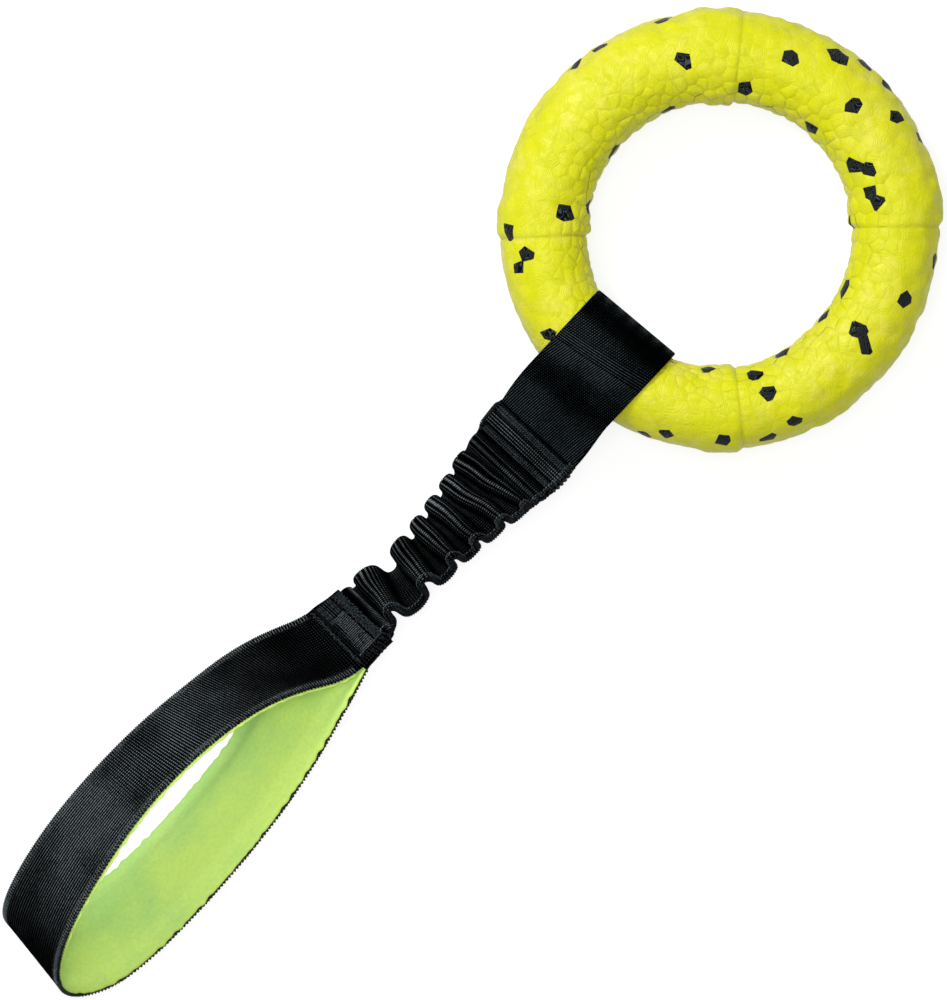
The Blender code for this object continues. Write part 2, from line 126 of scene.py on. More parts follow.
def feed(tree, node, inputs):
    """Sets inputs, by name or in order, to values or to the nodes or sockets that feed them."""
    for name, value in inputs.items() if isinstance(inputs, dict) else enumerate(inputs):
        if isinstance(value, bpy.types.Node):
            value = value.outputs[0]
        if isinstance(value, bpy.types.NodeSocket):
            tree.links.new(value, node.inputs[name])
        else:
            node.inputs[name].default_value = value


def add(tree, kind, inputs=(), **settings):
    """Adds a node with its settings, and feeds its inputs."""
    made = tree.nodes.new(kind)
    for name, value in settings.items():
        setattr(made, name, value)
    feed(tree, made, inputs)
    return made


def start_material(name):
    """An empty material with a Principled shader wired to its output."""
    made = bpy.data.materials.new(name)
    made.use_nodes = True
    tree = made.node_tree
    tree.nodes.clear()
    shader = add(tree, "ShaderNodeBsdfPrincipled")
    add(tree, "ShaderNodeOutputMaterial", {"Surface": shader})
    return made, tree, shader


def blend_colours(tree, share, first, second):
    """The colour between two, by a share from 0 to 1. Each is a hex value or a socket."""
    ends = [linear(c) if isinstance(c, str) else c for c in (first, second)]
    return add(tree, "ShaderNodeMix", {0: share, 6: ends[0], 7: ends[1]}, data_type="RGBA").outputs[2]


def patches(tree, place, size, detail, roughness, span, distortion=0.0):
    """Soft patches of a size in millimetres: their noise, and a share that follows it.

    span is where the noise starts and stops counting, and the shares at those two ends.
    """
    cloud = add(tree, NOISE, {
        "Vector": place, "Scale": 1 / (size * mm), "Detail": detail,
        "Roughness": roughness, "Distortion": distortion,
    })
    return cloud, add(tree, RANGE, (cloud, *span))


# %% [markdown]
# ## Bead foam
#
# The ring is steam-moulded from foam beads that swell and press flat against each other. The
# eye sees a fluorescent yellow skin, a fine groove where two beads meet, contour lines like
# a fingerprint inside each bead, and now and then a black bead with paler scratches. Light and
# shade are partly painted into the colour: pale patches for the lamp's broad highlight, and
# painted shade along the fingerprint lines and in the grooves and creases, strongest on the
# ring's inner rim.

# %% Bead foam material
bead_pitch = 4.2 * mm
print_line_size = 7.0 * mm
ripple_turns = 104.0
scratch_turns = 150.0

bead_foam, tree, shader = start_material("moulded_bead_foam")
place = add(tree, "ShaderNodeTexCoord").outputs["Object"]
groove_shade, tint, black = (
    add(tree, "ShaderNodeAttribute", attribute_name=name).outputs["Fac"]
    for name in ("groove_shade", "bead_tint", "black_bead")
)
contour = add(tree, NOISE, {
    "Vector": place, "Scale": 1 / print_line_size, "Detail": 1.5, "Roughness": 0.45, "Distortion": 0.6,
})
lines, scratches = (
    add(tree, MATH, (add(tree, MATH, (contour, turns), operation="MULTIPLY"),), operation="SINE")
    for turns in (ripple_turns, scratch_turns)
)
_, cloudy = patches(tree, place, 22.0, 2.0, 0.5, (0.42, 0.58, 0.25, 1.0))
_, blobs = patches(tree, place, 6.0, 2.5, 0.6, (0.45, 0.64, 0.12, 0.6), 0.8)
pits, grit = patches(tree, place, 1.1, 3.0, 0.6, (0.58, 0.68, 0.0, 1.0))
# Painted sheen: pale patches stand in for the lamp's broad highlight on the foam.
painted_sheen = add(tree, MATH, (cloudy, blobs), operation="MULTIPLY")
# Painted shade: the fingerprint lines are darkened in the colour, besides their bump.
ripple_shade = add(tree, RANGE, (lines, -0.2, 1.0, 0.0, 0.17))
# Painted shade: the grooves and creases are darkened towards olive, most on the ring's inner rim, where
# shade falls.
shade = add(tree, MATH, (groove_shade, 0.42), operation="MULTIPLY", use_clamp=True)
deep_groove = add(tree, RANGE, (groove_shade, 0.65, 1.15, 0.0, 0.8))
# The dark specks go only into the deepest of these painted-shade grooves.
specks = add(tree, MATH, (grit, deep_groove), operation="MULTIPLY")
skin = blend_colours(tree, tint, "#E0E304", "#E9E908")
for share, tone in ((painted_sheen, "#F6EE5C"), (ripple_shade, "#C8D00E"), (shade, "#A9AD10"), (specks, "#55560F")):
    skin = blend_colours(tree, share, skin, tone)
scratches = add(tree, RANGE, (scratches, 0.45, 1.0, 0.0, 0.8))
dark = blend_colours(tree, scratches, "#060809", "#525C5E")
height = add(tree, MATH, (pits, 2.4, lines), operation="MULTIPLY_ADD")
feed(tree, shader, {
    "Base Color": blend_colours(tree, black, skin, dark),
    "Roughness": 0.38,
    "Specular IOR Level": add(tree, MATH, (black, -0.2, 0.26), operation="MULTIPLY_ADD"),
    "Normal": add(tree, "ShaderNodeBump", {"Strength": 0.65, "Distance": 0.055 * mm, "Height": height}),
})
print(bead_foam.name, len(tree.nodes), "nodes")

# %% [markdown]
# ## Woven nylon
#
# Both straps and the sleeve are black nylon in a ribbed weave. In some places the eye sees
# the ribs across it, in others the lines of the warp along it. Their sheen is painted into the
# colour: the raised yarns are lighter than the black between them, and an attribute adds
# painted light and shade, such as paler crests, a pale fold and dark troughs, and in places
# the cloth's own tone. The pattern follows the piece's own UV map, which is laid out in metres
# along and across the strap, so a yarn keeps its width wherever the strap bends. The real yarns
# are about 0.55 mm apart, too fine for a picture of 0.38 mm a pixel, so they are drawn wider.


# %% Woven nylon materials
def woven_nylon(name, warp, weft, painted_highlight, roughness, relief, turns, skew=0.0, lean=0.0):
    """Black nylon tape: ribs across it and lines along it, painted lighter as a highlight, and painted
    light and shade from an attribute.

    turns say where on the UV map ribs give way to lines: an axis, two places on it in
    millimetres, and the shares of lines there. skew leans the lines off the strap, and lean
    does the same for the ribs and for the places where they give way.
    """
    made, tree, shader = start_material(name)
    spot = add(tree, "ShaderNodeUVMap", uv_map="weave")
    u, v = add(tree, "ShaderNodeSeparateXYZ", (spot,)).outputs[:2]
    place = add(tree, "ShaderNodeTexCoord").outputs["Object"]
    along = add(tree, MATH, (v, -lean, u), operation="MULTIPLY_ADD")
    liney = 0.0
    for axis, first, last, low, high in turns:
        turn = add(tree, RANGE, ((along, v)[axis], first * mm, last * mm, low, high))
        liney = add(tree, MATH, (turn, liney), operation="ADD")
    ribby = add(tree, MATH, (1.0, liney), operation="SUBTRACT")
    leant = add(tree, MATH, (u, -skew, v), operation="MULTIPLY_ADD")
    # Painted highlight: ribs and lines of raised yarn are lighter in colour than the black between them,
    # standing in for their sheen, since the shader has no specular.
    level = 1.0
    for run, pitch, share in ((along, weft, ribby), (leant, warp, liney)):
        turned = add(tree, MATH, (run, full_turn / pitch), operation="MULTIPLY")
        wave = add(tree, RANGE, (add(tree, MATH, (turned,), operation="COSINE"), -1.0))
        sharpness = add(tree, MATH, (share, 4.6), operation="MULTIPLY")
        wave = add(tree, MATH, (wave, sharpness), operation="POWER")
        level = add(tree, MATH, (level, wave), operation="MULTIPLY")
    # Painted glints: small random spots make the painted highlight brighter or dimmer.
    fibres, glint = patches(tree, place, 0.9, 3.0, 0.65, (0.3, 0.7, 0.3, 1.7))
    _, patch = patches(tree, place, 24.0, 2.0, 0.5, (0.38, 0.62, 0.5, 1.3))
    # This attribute paints light and shade on the cloth, and in places sets its own tone.
    tone_and_painted_light = add(tree, "ShaderNodeAttribute", attribute_name="tone_and_painted_light").outputs["Fac"]
    for factor in (glint, patch):
        tone_and_painted_light = add(tree, MATH, (tone_and_painted_light, factor), operation="MULTIPLY")
    share = add(tree, MATH, (level, tone_and_painted_light), operation="MULTIPLY", use_clamp=True)
    height = add(tree, MATH, (fibres, 0.35, level), operation="MULTIPLY_ADD")
    feed(tree, shader, {
        "Base Color": blend_colours(tree, share, "#000000", painted_highlight),
        "Roughness": roughness,
        "Specular IOR Level": 0.0,
        "Normal": add(tree, "ShaderNodeBump", {"Strength": 0.7, "Distance": relief, "Height": height}),
    })
    print(name, len(tree.nodes), "nodes")
    return made


warp_pitch = 0.92 * mm
rib_pitch = 1.15 * mm
web_rib_pitch = 0.95 * mm
webbing_turns = (
    (0, -53, -49, 0.9, 0.5), (0, -41, -38, 0.0, 0.5), (0, -31.4, -30.2, 0.0, -0.95),
    (0, -26.0, -25.0, 0.0, 0.75), (0, -13, -12, 0.0, -0.6),
)
# The fourth argument of each tape is the colour of the painted highlight on its raised yarns.
webbing_nylon = woven_nylon(
    "woven_nylon_webbing", warp_pitch, web_rib_pitch, "#485257", 0.5, 0.08 * mm,
    webbing_turns, skew=0.2, lean=0.16,
)
loop_nylon = woven_nylon(
    "woven_nylon_loop_webbing", 1.25 * mm, rib_pitch, "#717A7E", 0.5, 0.1 * mm,
    ((0, 20, 50, 0.5, 0.1), (0, 98, 128, 0.0, 0.85)),
)
sleeve_nylon = woven_nylon(
    "woven_nylon_sleeve_tape", warp_pitch, rib_pitch, "#7A848A", 0.45, 0.1 * mm,
    ((1, -9, 5, 0.12, 0.68),),
)

# %% [markdown]
# ## Lining, padding, elastic and thread
#
# The lining is a brushed knit: no yarn shows, only a soft nap that lies now one way and now
# the other, so its light green drifts towards yellow. The drift leans across the width, paler
# and yellower towards one edge and greener towards the other, as painted light and shade. The
# padding and the elastic are hidden, and plain polyester thread holds it all together.


# %% Soft materials
def brushed_knit(name, base, cool, warm, edge, drift, nap):
    """A napped cloth: its colour drifts two ways over a distance, and from edge to edge as painted light
    and shade.

    drift is that distance in millimetres, and nap is the size of its tufts.
    """
    made, tree, shader = start_material(name)
    place = add(tree, "ShaderNodeTexCoord").outputs["Object"]
    spot = add(tree, "ShaderNodeUVMap", uv_map="weave")
    across = add(tree, "ShaderNodeSeparateXYZ", (spot,)).outputs[1]
    colour = base
    for shift, lean, tone in ((0.0, -5.0, cool), (7.0, 8.0, warm)):
        moved = add(tree, "ShaderNodeMapping", {"Vector": place, "Location": (shift, shift, 0.0)})
        patch = add(tree, NOISE, {
            "Vector": moved, "Scale": 1 / (drift * mm), "Detail": 4.0, "Roughness": 0.55,
        })
        # Painted light and shade: leaning with the width puts the warm tone towards one edge and the
        # cool one towards the other.
        leant = add(tree, MATH, (across, lean, patch), operation="MULTIPLY_ADD")
        share = add(tree, RANGE, (leant, 0.42, 0.68, 0.0, 0.85))
        colour = blend_colours(tree, share, colour, tone)
    aside = add(tree, MATH, (across,), operation="ABSOLUTE")
    rim = add(tree, RANGE, (aside, half_webbing - 0.8 * mm, half_webbing, 0.0, 0.8))
    colour = blend_colours(tree, rim, colour, edge)
    fuzz, speck = patches(tree, place, nap, 5.0, 0.7, (0.3, 0.7, 0.93, 1.06))
    feed(tree, shader, {
        "Base Color": add(tree, "ShaderNodeVectorMath", (colour, speck), operation="MULTIPLY"),
        "Roughness": 0.95,
        "Specular IOR Level": 0.15,
        "Sheen Weight": 0.12,
        "Sheen Roughness": 0.5,
        "Normal": add(tree, "ShaderNodeBump", {"Strength": 0.5, "Distance": 0.15 * mm, "Height": fuzz}),
    })
    return made


def spun_thread(name, base, painted_highlight, roughness):
    """Polyester thread: fine plies that catch the light, painted lighter as a highlight."""
    made, tree, shader = start_material(name)
    place = add(tree, "ShaderNodeTexCoord").outputs["Object"]
    plies, share = patches(tree, place, 0.35, 2.0, 0.6, (0.4, 0.65, 0.0, 1.0))
    feed(tree, shader, {
        "Base Color": blend_colours(tree, share, base, painted_highlight),
        "Roughness": roughness,
        "Specular IOR Level": 0.06,
        "Normal": add(tree, "ShaderNodeBump", {"Strength": 0.4, "Distance": 0.05 * mm, "Height": plies}),
    })
    return made


lining_knit = brushed_knit(
    "brushed_knit_lining", "#C5EA88", "#B6E585", "#DAF680", "#B6DC55", 30.0, 1.4
)
pad_wadding = brushed_knit("grey_wadding", "#87878A", "#77777B", "#98989B", "#87878A", 9.0, 1.0)
elastic_rubber = spun_thread("covered_elastic", "#B9B6AB", "#CFCCC2", 0.7)
black_thread = spun_thread("black_polyester_thread", "#020303", "#262C2F", 0.5)
dull_thread = spun_thread("dull_polyester_thread", "#050708", "#475155", 0.5)
shiny_thread = spun_thread("shiny_polyester_thread", "#12171A", "#788286", 0.45)
print(len(bpy.data.materials), "materials")

# %% [markdown]
# ## The strap's middle surface
#
# The ring lies flat and the hand loop leans on one edge, so the strap between them rolls
# about its own length. Three smooth curves give that roll, its sideways place and the
# sleeve's width, and every layer is placed from them by its distance out from the middle.


# %% Strap curves
def spline(places, values, clamped=False):
    """A smooth curve through rows of values at rising places, as a function of place."""
    t = np.asarray(places, float)
    v = np.asarray(values, float)
    count = len(t)
    matrix = np.zeros((count, count))
    right = np.zeros_like(v)
    gaps = np.diff(t)
    slopes = ((v[1:] - v[:-1]).T / gaps).T
    for i in range(1, count - 1):
        matrix[i, i - 1] = gaps[i]
        matrix[i, i] = 2 * (gaps[i - 1] + gaps[i])
        matrix[i, i + 1] = gaps[i - 1]
        right[i] = 3 * (gaps[i] * slopes[i - 1] + gaps[i - 1] * slopes[i])
    if clamped:
        matrix[0, 0] = matrix[-1, -1] = 1
    else:
        matrix[0, 0:2] = (2, 1)
        matrix[-1, -2:] = (1, 2)
        right[0] = 3 * slopes[0]
        right[-1] = 3 * slopes[-1]
    tangents = np.linalg.solve(matrix, right)

    def at(place):
        i = int(np.clip(np.searchsorted(t, place) - 1, 0, count - 2))
        u = (place - t[i]) / gaps[i]
        start = (2 * u**3 - 3 * u**2 + 1) * v[i] + (u**3 - 2 * u**2 + u) * gaps[i] * tangents[i]
        return start + (3 * u**2 - 2 * u**3) * v[i + 1] + (u**3 - u**2) * gaps[i] * tangents[i + 1]

    return at


def ease(share):
    share = min(max(share, 0.0), 1.0)
    return share * share * (3 - 2 * share)


roll_places = (
    handle_end, lower_end, lower_start, lower_start + gathered_length * 0.5,
    upper_end, upper_start, ring_x - ring_reach,
)
strap_roll = spline(roll_places, (33.0, 33.0, 36.0, 26.0, 15.0, 10.0, 0.0), clamped=True)
side_shares = (0.0, -0.020, -0.056, -0.082, -0.088, -0.070, -0.024)
strap_side = spline(roll_places, side_shares, clamped=True)


def roll_at(x):
    return math.radians(strap_roll(x)) if x < roll_places[-1] else 0.0


def side_at(x):
    share = strap_side(x) if x < roll_places[-1] else side_shares[-1]
    return float(share) * webbing_width


def strap_point(x, across, out):
    """The point at a place along the strap, across its width and out from its middle plane."""
    roll = roll_at(x)
    y = side_at(x) - across * math.cos(roll) + out * math.sin(roll)
    z = axis_height + across * math.sin(roll) + out * math.cos(roll)
    return Vector((x, y, z))


# %% [markdown]
# ## How a strap becomes a mesh
#
# A strap is a closed band: a grid of points on its outer face, the same grid on its inner
# face, and rounded selvedges between. One function takes a list of places along the strap
# and the two faces' distances from its line, and lays the UV map in metres at the same time.


# %% Strap builder
def put(name, data):
    """A new object in the scene."""
    made = bpy.data.objects.new(name, data)
    bpy.context.scene.collection.objects.link(made)
    return made


def link(name, mesh, finish, smooth_degrees=50.0):
    """Puts a mesh in the scene as a piece with one material."""
    mesh.materials.clear()
    mesh.materials.append(finish)
    mesh.shade_smooth()
    mesh.set_sharp_from_angle(angle=math.radians(smooth_degrees))
    return put(name, mesh)


def face_outwards(mesh, merge=0.0):
    """Turns a mesh's faces outwards, after points nearer than merge become one."""
    shaped = bmesh.new()
    shaped.from_mesh(mesh)
    if merge:
        bmesh.ops.remove_doubles(shaped, verts=shaped.verts, dist=merge)
        bmesh.ops.recalc_face_normals(shaped, faces=shaped.faces)
    if shaped.calc_volume(signed=True) < 0:
        bmesh.ops.reverse_faces(shaped, faces=shaped.faces)
    open_edges = sum(1 for edge in shaped.edges if not edge.is_manifold)
    shaped.to_mesh(mesh)
    shaped.free()
    print(mesh.name, len(mesh.polygons), "faces,", open_edges, "open edges")


def band(name, places, alongs, acrosses, faces_at, finish, widths=None, tone_and_painted_light_at=None):
    """A closed strap. places are functions of across and out, and faces_at gives both offsets.

    widths are each station's true width as a share, which keeps the weave's scale, and the
    last argument says how pale the cloth is at a station and a place across: painted light and
    shade, and in places the cloth's own tone.
    """
    points = []
    spots = []
    tone_and_painted_light = []
    for i, place in enumerate(places):
        offsets = [faces_at(i, across) for across in acrosses]
        width_here = widths[i] if widths else 1.0
        paleness = [tone_and_painted_light_at(i, across) if tone_and_painted_light_at else 1.0 for across in acrosses]
        tone_and_painted_light += paleness + paleness[::-1]
        for across, (_, outer) in zip(acrosses, offsets):
            points.append(place(across, outer))
            spots.append((alongs[i], across * width_here))
        for across, (inner, _) in reversed(list(zip(acrosses, offsets))):
            points.append(place(across, inner))
            spots.append((alongs[i], across * width_here))
    width = len(acrosses)
    ring = 2 * width
    last = (len(places) - 1) * ring
    faces = []
    for r in range(len(places) - 1):
        for i in range(ring):
            j = (i + 1) % ring
            faces.append((r * ring + i, r * ring + j, (r + 1) * ring + j, (r + 1) * ring + i))
    for i in range(width - 1):
        k = ring - 1 - i
        faces.append((i, k, k - 1, i + 1))
        faces.append((last + i, last + i + 1, last + k - 1, last + k))
    mesh = bpy.data.meshes.new(name)
    mesh.from_pydata(points, [], faces)
    corners = np.empty(len(mesh.loops), np.int32)
    mesh.loops.foreach_get("vertex_index", corners)
    mesh.attributes.new("tone_and_painted_light", "FLOAT", "POINT").data.foreach_set("value", tone_and_painted_light)
    layer = mesh.uv_layers.new(name="weave")
    layer.data.foreach_set("uv", np.array(spots)[corners].ravel())
    face_outwards(mesh)
    return link(name, mesh, finish)


def columns(half_width, count, edge, marks=()):
    """Places across a strap, close together at each rounded selvedge and at marks of its own."""
    inner = half_width - edge
    middle = [inner * (2 * i / count - 1) for i in range(count + 1)]
    bend = [half_width - edge * s for s in (0.45, 0.12, 0.0)] + list(marks)
    return sorted([-b for b in bend] + middle + bend)


def roundness(across, half_width, edge):
    """How much of a strap's thickness is left near its rounded selvedge, from 0 to 1."""
    past = max(0.0, abs(across) - (half_width - edge)) / edge
    return math.sqrt(max(0.04, 1 - past * past))


def run_lengths(points):
    """Distances along a line of points, starting at zero."""
    steps = [0.0] + [(b - a).length for a, b in zip(points, points[1:])]
    return list(np.cumsum(steps))


# %% [markdown]
# ## The foam ring, bead by bead
#
# A torus with a bump texture would look like leather. The real skin is a patchwork: each
# bead is a flat-sided cell, and the black ones are cells like the rest. So the mesh is built
# from the cells. Seeds are scattered on the tube, the map of the torus is unrolled so that
# angles keep true, and the cells round the seeds come from a Delaunay triangulation.

# %% Where the beads lie
# Where black beads lie in the photograph, in its pixels, which are 0.38 mm each.
pixel = 0.38 * mm
ring_middle_pixel = (720, 230)
strap_heading = math.radians(46.9)
black_bead_pixels = (
    (663, 21), (684, 60), (597, 46), (575, 64), (788, 60), (832, 57), (840, 60), (864, 68),
    (888, 89), (746, 87), (669, 109), (812, 128), (853, 109), (894, 120), (922, 137),
    (855, 167), (869, 172), (870, 193), (877, 202), (566, 213), (513, 232), (527, 254),
    (521, 268), (590, 207), (848, 223), (934, 260), (904, 301), (843, 289), (820, 313),
    (857, 329), (863, 344), (550, 334), (708, 366), (752, 370), (780, 350), (765, 389),
    (794, 419), (768, 436), (722, 436), (667, 432), (646, 434), (613, 152),
)
# Turns in degrees of each collar's two sides: the sharp crease first, then the soft ramp.
collar_sides = ((36.9, 50.0), (135.7, 126.0), (229.3, 218.2), (313.8, 324.6))
crease_turns = [crease for crease, _ in collar_sides]
hidden_black_share = 0.05
black_bead_size = 1.0

flatness = math.sqrt(ring_radius**2 - tube_radius**2)
map_height = full_turn * tube_radius / flatness


def tube_to_map(tube):
    """The true-angle map's height for an angle round the tube."""
    slant = math.sqrt((ring_radius - tube_radius) / (ring_radius + tube_radius))
    return 2 * tube_radius / flatness * math.atan(slant * math.tan(tube / 2))


def map_to_tube(height):
    slant = math.sqrt((ring_radius + tube_radius) / (ring_radius - tube_radius))
    return 2 * math.atan(slant * math.tan(height * flatness / (2 * tube_radius)))


def tube_point(turn, tube, rise=0.0):
    """A point on the tube at a turn round the ring and an angle round the tube."""
    reach = tube_radius + rise
    out = ring_radius + reach * math.cos(tube)
    return (out * math.cos(turn), out * math.sin(turn), reach * math.sin(tube))


def seed_from_pixel(pixel_x, pixel_y):
    """The turn and tube angle of a spot on the ring's upper side in the photograph."""
    right = (pixel_x - ring_middle_pixel[0]) * pixel
    up = (ring_middle_pixel[1] - pixel_y) * pixel
    turn = math.atan2(up, right) - strap_heading
    share = (math.hypot(right, up) - ring_radius) / tube_radius
    return turn, math.acos(min(max(share, -0.98), 0.98))


def bead_seeds():
    """Places of all the beads, and which of them are black."""
    chance = np.random.default_rng(11)
    seeds, points, sizes = [], np.full((4000, 3), 9.0), np.ones(4000)

    def drop(turn, tube, size, room):
        here = np.array(tube_point(turn, tube))
        count = len(seeds)
        away = np.linalg.norm(points[:count] - here, axis=1)
        if count and (away < room * bead_pitch * (sizes[:count] + size) / 2).any():
            return False
        points[count] = here
        sizes[count] = size
        seeds.append((turn, tube))
        return True

    for spot in black_bead_pixels:
        drop(*seed_from_pixel(*spot), black_bead_size, 0.0)
    shown_black = len(seeds)
    for degrees in crease_turns:
        turn, tube = math.radians(degrees), -math.pi
        while tube < math.pi:
            out = ring_radius + tube_radius * math.cos(tube)
            aside = bead_pitch * (0.42 + 0.26 * chance.random()) / out
            if drop(turn - aside, tube, 1.0, 0.7):
                drop(turn + aside, tube, 1.0, 0.5)
            tube += bead_pitch * (0.85 + 0.5 * chance.random()) / tube_radius
    misses = 0
    while misses < 2500:
        turn, tube = full_turn * chance.random(), full_turn * chance.random() - math.pi
        size = 0.8 + 0.5 * chance.random()
        if chance.random() * ring_reach > ring_radius + tube_radius * math.cos(tube):
            continue
        misses = 0 if drop(turn, tube, size, 1.0) else misses + 1
    black = set(range(shown_black))
    for i in range(shown_black, len(seeds)):
        if seeds[i][1] < -0.15 and chance.random() < hidden_black_share:
            black.add(i)
    return seeds, black


bead_places, black_beads = bead_seeds()
print(len(bead_places), "beads, of which", len(black_beads), "are black")

# %% [markdown]
# The cell round each seed is the loop of circumcentres of the triangles that meet there. The
# map repeats in both directions, so copies of the seeds past its edges close the pattern.


# %% Cells of the beads
def bead_cells(seeds):
    """For each seed, its place on the map and the corners of its cell there."""
    margin = 0.4
    flat = [((turn + math.pi) % full_turn - math.pi, tube_to_map(tube)) for turn, tube in seeds]
    copies = list(flat)
    for i in (-1, 0, 1):
        for j in (-1, 0, 1):
            moved = [(u + i * full_turn, w + j * map_height) for u, w in flat]
            if (i, j) != (0, 0):
                copies += [
                    (u, w) for u, w in moved
                    if abs(u) < math.pi + margin and abs(w) < map_height / 2 + margin
                ]
    found = geometry.delaunay_2d_cdt([Vector(p) for p in copies], [], [], 0, 1e-9)
    source = {i: old[0] for i, old in enumerate(found[3]) if old}
    corners = {i: [] for i in range(len(flat))}
    for face in found[2]:
        a, b, c = [np.array(copies[source[i]]) for i in face]
        sides = 2 * np.array([b - a, c - a])
        middle = np.linalg.solve(sides, [b @ b - a @ a, c @ c - a @ a])
        for i in face:
            if source[i] < len(flat):
                corners[source[i]].append(middle)
    cells = []
    for i, seed in enumerate(flat):
        loop = sorted(corners[i], key=lambda p: math.atan2(p[1] - seed[1], p[0] - seed[0]))
        cells.append((np.array(seed), loop))
    return cells


def collar_lift(turn, tube):
    """How far the skin is raised by the nearest collar, most on the ring's inner and outer rims."""
    rim = 0.07 + 0.93 * math.cos(tube) ** 2
    lift = 0.0
    for crease, ramp in collar_sides:
        side = math.copysign(1.0, ramp - crease)
        past = (turn - math.radians(crease) + math.pi) % full_turn - math.pi
        along = past * side * ring_radius
        width = math.radians(abs(ramp - crease)) * ring_radius
        if -mm < along < width + 5 * mm:
            lift = ease(along / (2.4 * mm)) * ease((width + 3.5 * mm - along) / (6.0 * mm))
            break
    return 0.8 * collar_rise * rim * lift


def crease_depth(turn):
    """How near a place is to one of the four straight creases, from 0 to 1."""
    away = min(abs((turn - math.radians(c) + math.pi) % full_turn - math.pi) for c in crease_turns)
    return ease(1 - away * ring_radius / (1.1 * mm))


fold_distance = 48.0 * mm


def strap_press(place):
    """Where the webbing bites into the foam: the distance that the skin keeps from the middle."""
    aside = abs(place.y - side_at(ring_x)) - half_webbing
    bite = ease(1 - aside / (3.0 * mm))
    inner_rim = place.x < 0 and place.xy.length < ring_radius
    return bite * max(0.0, fold_distance + 0.15 * mm + place.x) if inner_rim else 0.0


# How far the real ring strays from a true one, every 30 degrees round it from the far side of
# the strap: its outer rim first, then its inner rim.
outer_shifts = (1.5, 0.8, 0.8, 1.4, 1.2, 0.85, 0.8, 0.85, 0.85, 0.65, 0.5, 1.5, 1.5)
inner_shifts = (-0.9, -1.5, -1.6, -1.0, -0.2, 0.85, 1.2, 2.0, 1.9, 0.5, 0.1, -0.5, -0.9)
ring_shape = spline(np.arange(0, 361, 30), np.array([outer_shifts, inner_shifts]).T * mm)


def shape_shift(turn, tube):
    """The ring's own unevenness as a step outwards or inwards from its middle."""
    outer, inner = ring_shape(math.degrees(turn) % 360)
    share = (1 + math.cos(tube)) / 2
    away = outer * share + inner * (1 - share)
    return Vector((away * math.cos(turn), away * math.sin(turn), 0.0))


bead_rings = ((0.0, -0.12), (0.2, 0.0), (0.55, 0.13), (1.0, 0.17))
border_step = 1.15 * mm


def foam_ring_mesh(cells, black):
    """The skin, cell by cell: each a low dome with a groove where it meets the next.

    A bead's border sinks with the bead's own size, so the borders of two neighbours lie about
    0.02 mm apart and most of them aren't welded: the skin is not one closed surface.
    """
    chance = np.random.default_rng(3)
    points, faces = [], []
    groove_shade, tints, dark = [], [], []
    for index, (seed, loop) in enumerate(cells):
        size = 0.6 + 0.8 * chance.random()
        if index in black:
            size = 0.5
        tint = chance.random()
        border = []
        for a, b in zip(loop, loop[1:] + loop[:1]):
            scale = ring_radius + tube_radius * math.cos(map_to_tube((a[1] + b[1]) / 2))
            steps = max(1, round(float(np.linalg.norm(b - a)) * scale / border_step))
            border += [a + (b - a) * i / steps for i in range(steps)]
        middle = np.mean(loop, axis=0) * 0.5 + seed * 0.5
        count = len(border)
        start = len(points)
        for share, level in bead_rings:
            ring = [p + (middle - p) * share for p in border] if share < 1 else [middle]
            for u, w in ring:
                tube = map_to_tube((w + map_height / 2) % map_height - map_height / 2)
                here = Vector(tube_point(u, tube))
                inner = ((1 - math.cos(tube)) / 2) ** 2
                outer = max(0.0, math.cos(tube)) ** 3
                crease = crease_depth(u) * (1 - 0.6 * inner)
                lumps = (0.5 + 0.55 * outer) * noise.noise(here / (5.5 * mm))
                swell = 0.45 * noise.noise(here / (12 * mm)) + lumps
                under_strap = ease((here.x + 40 * mm) / (6 * mm))
                swell *= 0.35 + 0.65 * under_strap
                dome = level * size * (0.16 + 1.75 * inner + 0.35 * outer)
                rise = (dome - 0.16 * crease + swell + 0.10) * mm + collar_lift(u, tube)
                skin = Vector(tube_point(u, tube, rise)) + shape_shift(u, tube)
                skin.x -= strap_press(skin)
                points.append((ring_x + skin.x, skin.y, max(skin.z + axis_height, 0.05 * mm)))
                # Painted shade for the colour: each bead's border ring darkens, much more on the ring's
                # inner rim, and the creases darken too.
                seen = 0.02 + 0.7 * inner if share == 0 else 0.0
                seen *= 0.45 + 1.6 * max(0.0, noise.noise(here / (4.5 * mm)))
                groove_shade.append(seen + 0.8 * crease)
        for r in range(len(bead_rings) - 2):
            for i in range(count):
                j = (i + 1) % count
                a, b = start + r * count + i, start + r * count + j
                faces.append((a, b, b + count, a + count))
        top = start + (len(bead_rings) - 2) * count
        for i in range(count):
            faces.append((top + i, top + (i + 1) % count, top + count))
        made = len(faces) - len(tints)
        tints += [tint] * made
        dark += [1.0 if index in black else 0.0] * made
    mesh = bpy.data.meshes.new("foam_ring_skin")
    mesh.from_pydata(points, [], faces)
    marks = (("groove_shade", "POINT", groove_shade), ("bead_tint", "FACE", tints), ("black_bead", "FACE", dark))
    for mark, domain, values in marks:
        mesh.attributes.new(mark, "FLOAT", domain).data.foreach_set("value", values)
    face_outwards(mesh, merge=0.004 * mm)
    return mesh


ring_mesh = foam_ring_mesh(bead_cells(bead_places), black_beads)
foam_ring = link("foam_ring_skin", ring_mesh, bead_foam, 80.0)
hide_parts("foam_ring")
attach(foam_ring, "ring")

# %% [markdown]
# ## The webbing round the ring
#
# One strap leaves the joint, goes over the tube, through the ring and back under it. Its
# crosswise ribs are real relief: the two faces rise and fall once for each weft yarn.

# %% Ring webbing
loop_gap = 0.5 * mm
fold_skew = 0.055
rib_relief = 0.05 * mm
stations_per_rib = 4


